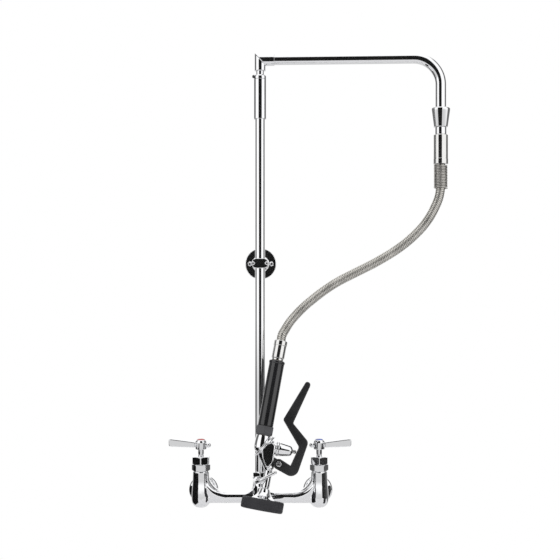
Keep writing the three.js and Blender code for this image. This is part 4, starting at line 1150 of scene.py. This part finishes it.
def makeValveBody():
    # the upright chamber, the bonnet's socket, the slanting throat, the neck, the lever's lug and the flat
    # cheeks as one casting
    wide, narrow = sprayLook["throatRadii"]
    foot = sprayLook["throatFoot"]
    start, stop = valvePoint(2, -4), valvePoint(outletOffset - 0.6, foot)
    run = float(np.linalg.norm(stop - start))
    throat = setting(start, valveSide, stop - start)
    lug = np.concatenate([
        curveThrough((14, -10), (15, -30), (31.8, -31.8))[:-1],
        pivotArc(7, -1.8, 1.6, 24),
        curveThrough((33.1, -18.0), (24.2, -14.5), (21, -10), (15.2, -10))[1:],
    ])
    cheek = rounded(sprayLook["cheek"], closed=True)[:-1]
    parts = [
        lathe("part", valveSetting, sprayLook["upright"]),
        rod("part", sidewaysSetting, *sprayLook["bonnetSocket"], cut=0.4),
        lathe("part", throat, [(0, 0, 0), (wide, 0, 0.5), (narrow, run, 0), (0, run, 0)]),
        ball("part", valvePoint(outletOffset - 0.4, foot), narrow),
        rod("part", outletSetting, *sprayLook["neck"]),
        slab("part", valveSetting, lug, sprayLook["lugDepth"], 1),
        slab("part", valveSetting, cheek, sprayLook["cheekDepth"], 1.6),
    ]
    return cast("valveBody", parts, sprayLook["grain"], sprayLook["soften"])


def makeLever():
    eye = pivotArc(8.8, 1.35, 4.3, 40)
    rest = curveThrough(
        tuple(eye[-1]), (51.5, -40.3), ((59, -42), (64.5, -36.5)), ((67, -34), (68, -29)), (75, 13.5),
        ((76, 19), (73, 22.6)), (46.5, 45), ((45.2, 46.5), (45.9, 49)), (62.4, 112),
        ((63.2, 118.5), (57.5, 119.2)), ((54.2, 119.2), (53, 115.8)), (28.6, 52.5),
        ((27.6, 49.6), (29.4, 47.2)), (60, 11.6), ((61.6, 9.4), (61.2, 6.6)), (53.2, -23.6),
        tuple(eye[0] + np.array([1.0, -0.4])),
    )
    outline = np.concatenate([eye, rest[1:]])
    lever = slab("squeezeLever", valveSetting, outline, sprayLook["leverWidth"], 2.2, 7)
    fork = pivot + np.array([(-14, -14), (9.6, -14), (9.6, 12), (-14, 12)])
    slot = slab("tool", valveSetting, fork, sprayLook["forkWidth"], 0.01, 2)
    hole = rod("tool", pinSetting, *sprayLook["pinHole"], cut=0, sides=40)
    return cutBy(lever, slot, hole)


def makeFace():
    tools = []
    for count, radius in sprayLook["holeRings"]:
        for index in range(count):
            angle = index / count * 2 * math.pi
            spot = slid(outletSetting, radius * math.cos(angle), radius * math.sin(angle))
            tools.append(rod("tool", spot, *sprayLook["hole"], cut=0, sides=20))
    return cutBy(lathe("sprayFace", outletSetting, sprayLook["face"]), *tools)


def makeRing():
    # a wire circle, its axis tilted from the grip's away from the bonnet's
    tilt = math.radians(sprayLook["ringTilt"])
    ringAxis = -math.sin(tilt) * bonnetAxis + math.cos(tilt) * gripAxis
    t = np.linspace(0, 2 * np.pi, 32)
    wire = sprayLook["ringWire"]
    line = np.stack([sprayLook["ringRadius"] + wire * np.cos(t), wire * np.sin(t)], axis=1)
    line[-1] = line[0]
    ringSetting = setting(valvePoint(*sprayLook["ringCentre"]), valveSide, ringAxis)
    return turned("holdDownRing", ringSetting, line, 128)


def makeSprayValve():
    body = "spray_valve"
    place(lathe("lowerFerrule", valveSetting, sprayLook["ferrule"]), body, "steel", "ferrule")
    place(lathe("gripSleeve", valveSetting, sprayLook["grip"]), body, "black_plastic", "grip", "grip")
    place(hexTurned("gripCollar", valveSetting, sprayLook["collar"]), body, "grey_plastic", "collar")
    place(makeValveBody(), body)
    place(lathe("valveBonnet", sidewaysSetting, sprayLook["bonnet"]), body)
    place(lathe("sprayHead", outletSetting, sprayLook["head"]), body)
    place(makeFace(), body, "steel")
    place(lathe("sprayBumper", outletSetting, sprayLook["bumper"], 144), body, "rubber")
    place(lathe("pivotPin", pinSetting, sprayLook["pin"], 56), body)
    place(hexTurned("pivotNut", pinSetting, sprayLook["pinNut"], 96), body)
    place(lathe("valvePlunger", sidewaysSetting, sprayLook["plunger"], 64), "plunger", "steel")
    place(makeLever(), "squeeze_lever", "lever_coat", "lever", "spray_lever")
    place(makeRing(), "ring")


makeSprayValve()
print("faucet: spray valve")

# the CAD nodes that stay, inside the others
keptFinishes = {
    "brass": ("hot_cartridge", "cold_cartridge", "core_tube"),
    "rubber": ("riser_washer", "lower_o_ring", "upper_o_ring", "hose_washer", "seat_washer"),
    "steel": ("hot_handle_screw", "cold_handle_screw", "valve_spring"),
}
for finish, names in keptFinishes.items():
    for name in names:
        kept = frame["nodes"][name]
        kept.data.materials.clear()
        kept.data.materials.append(finishes[finish])

print("faucet: finished")
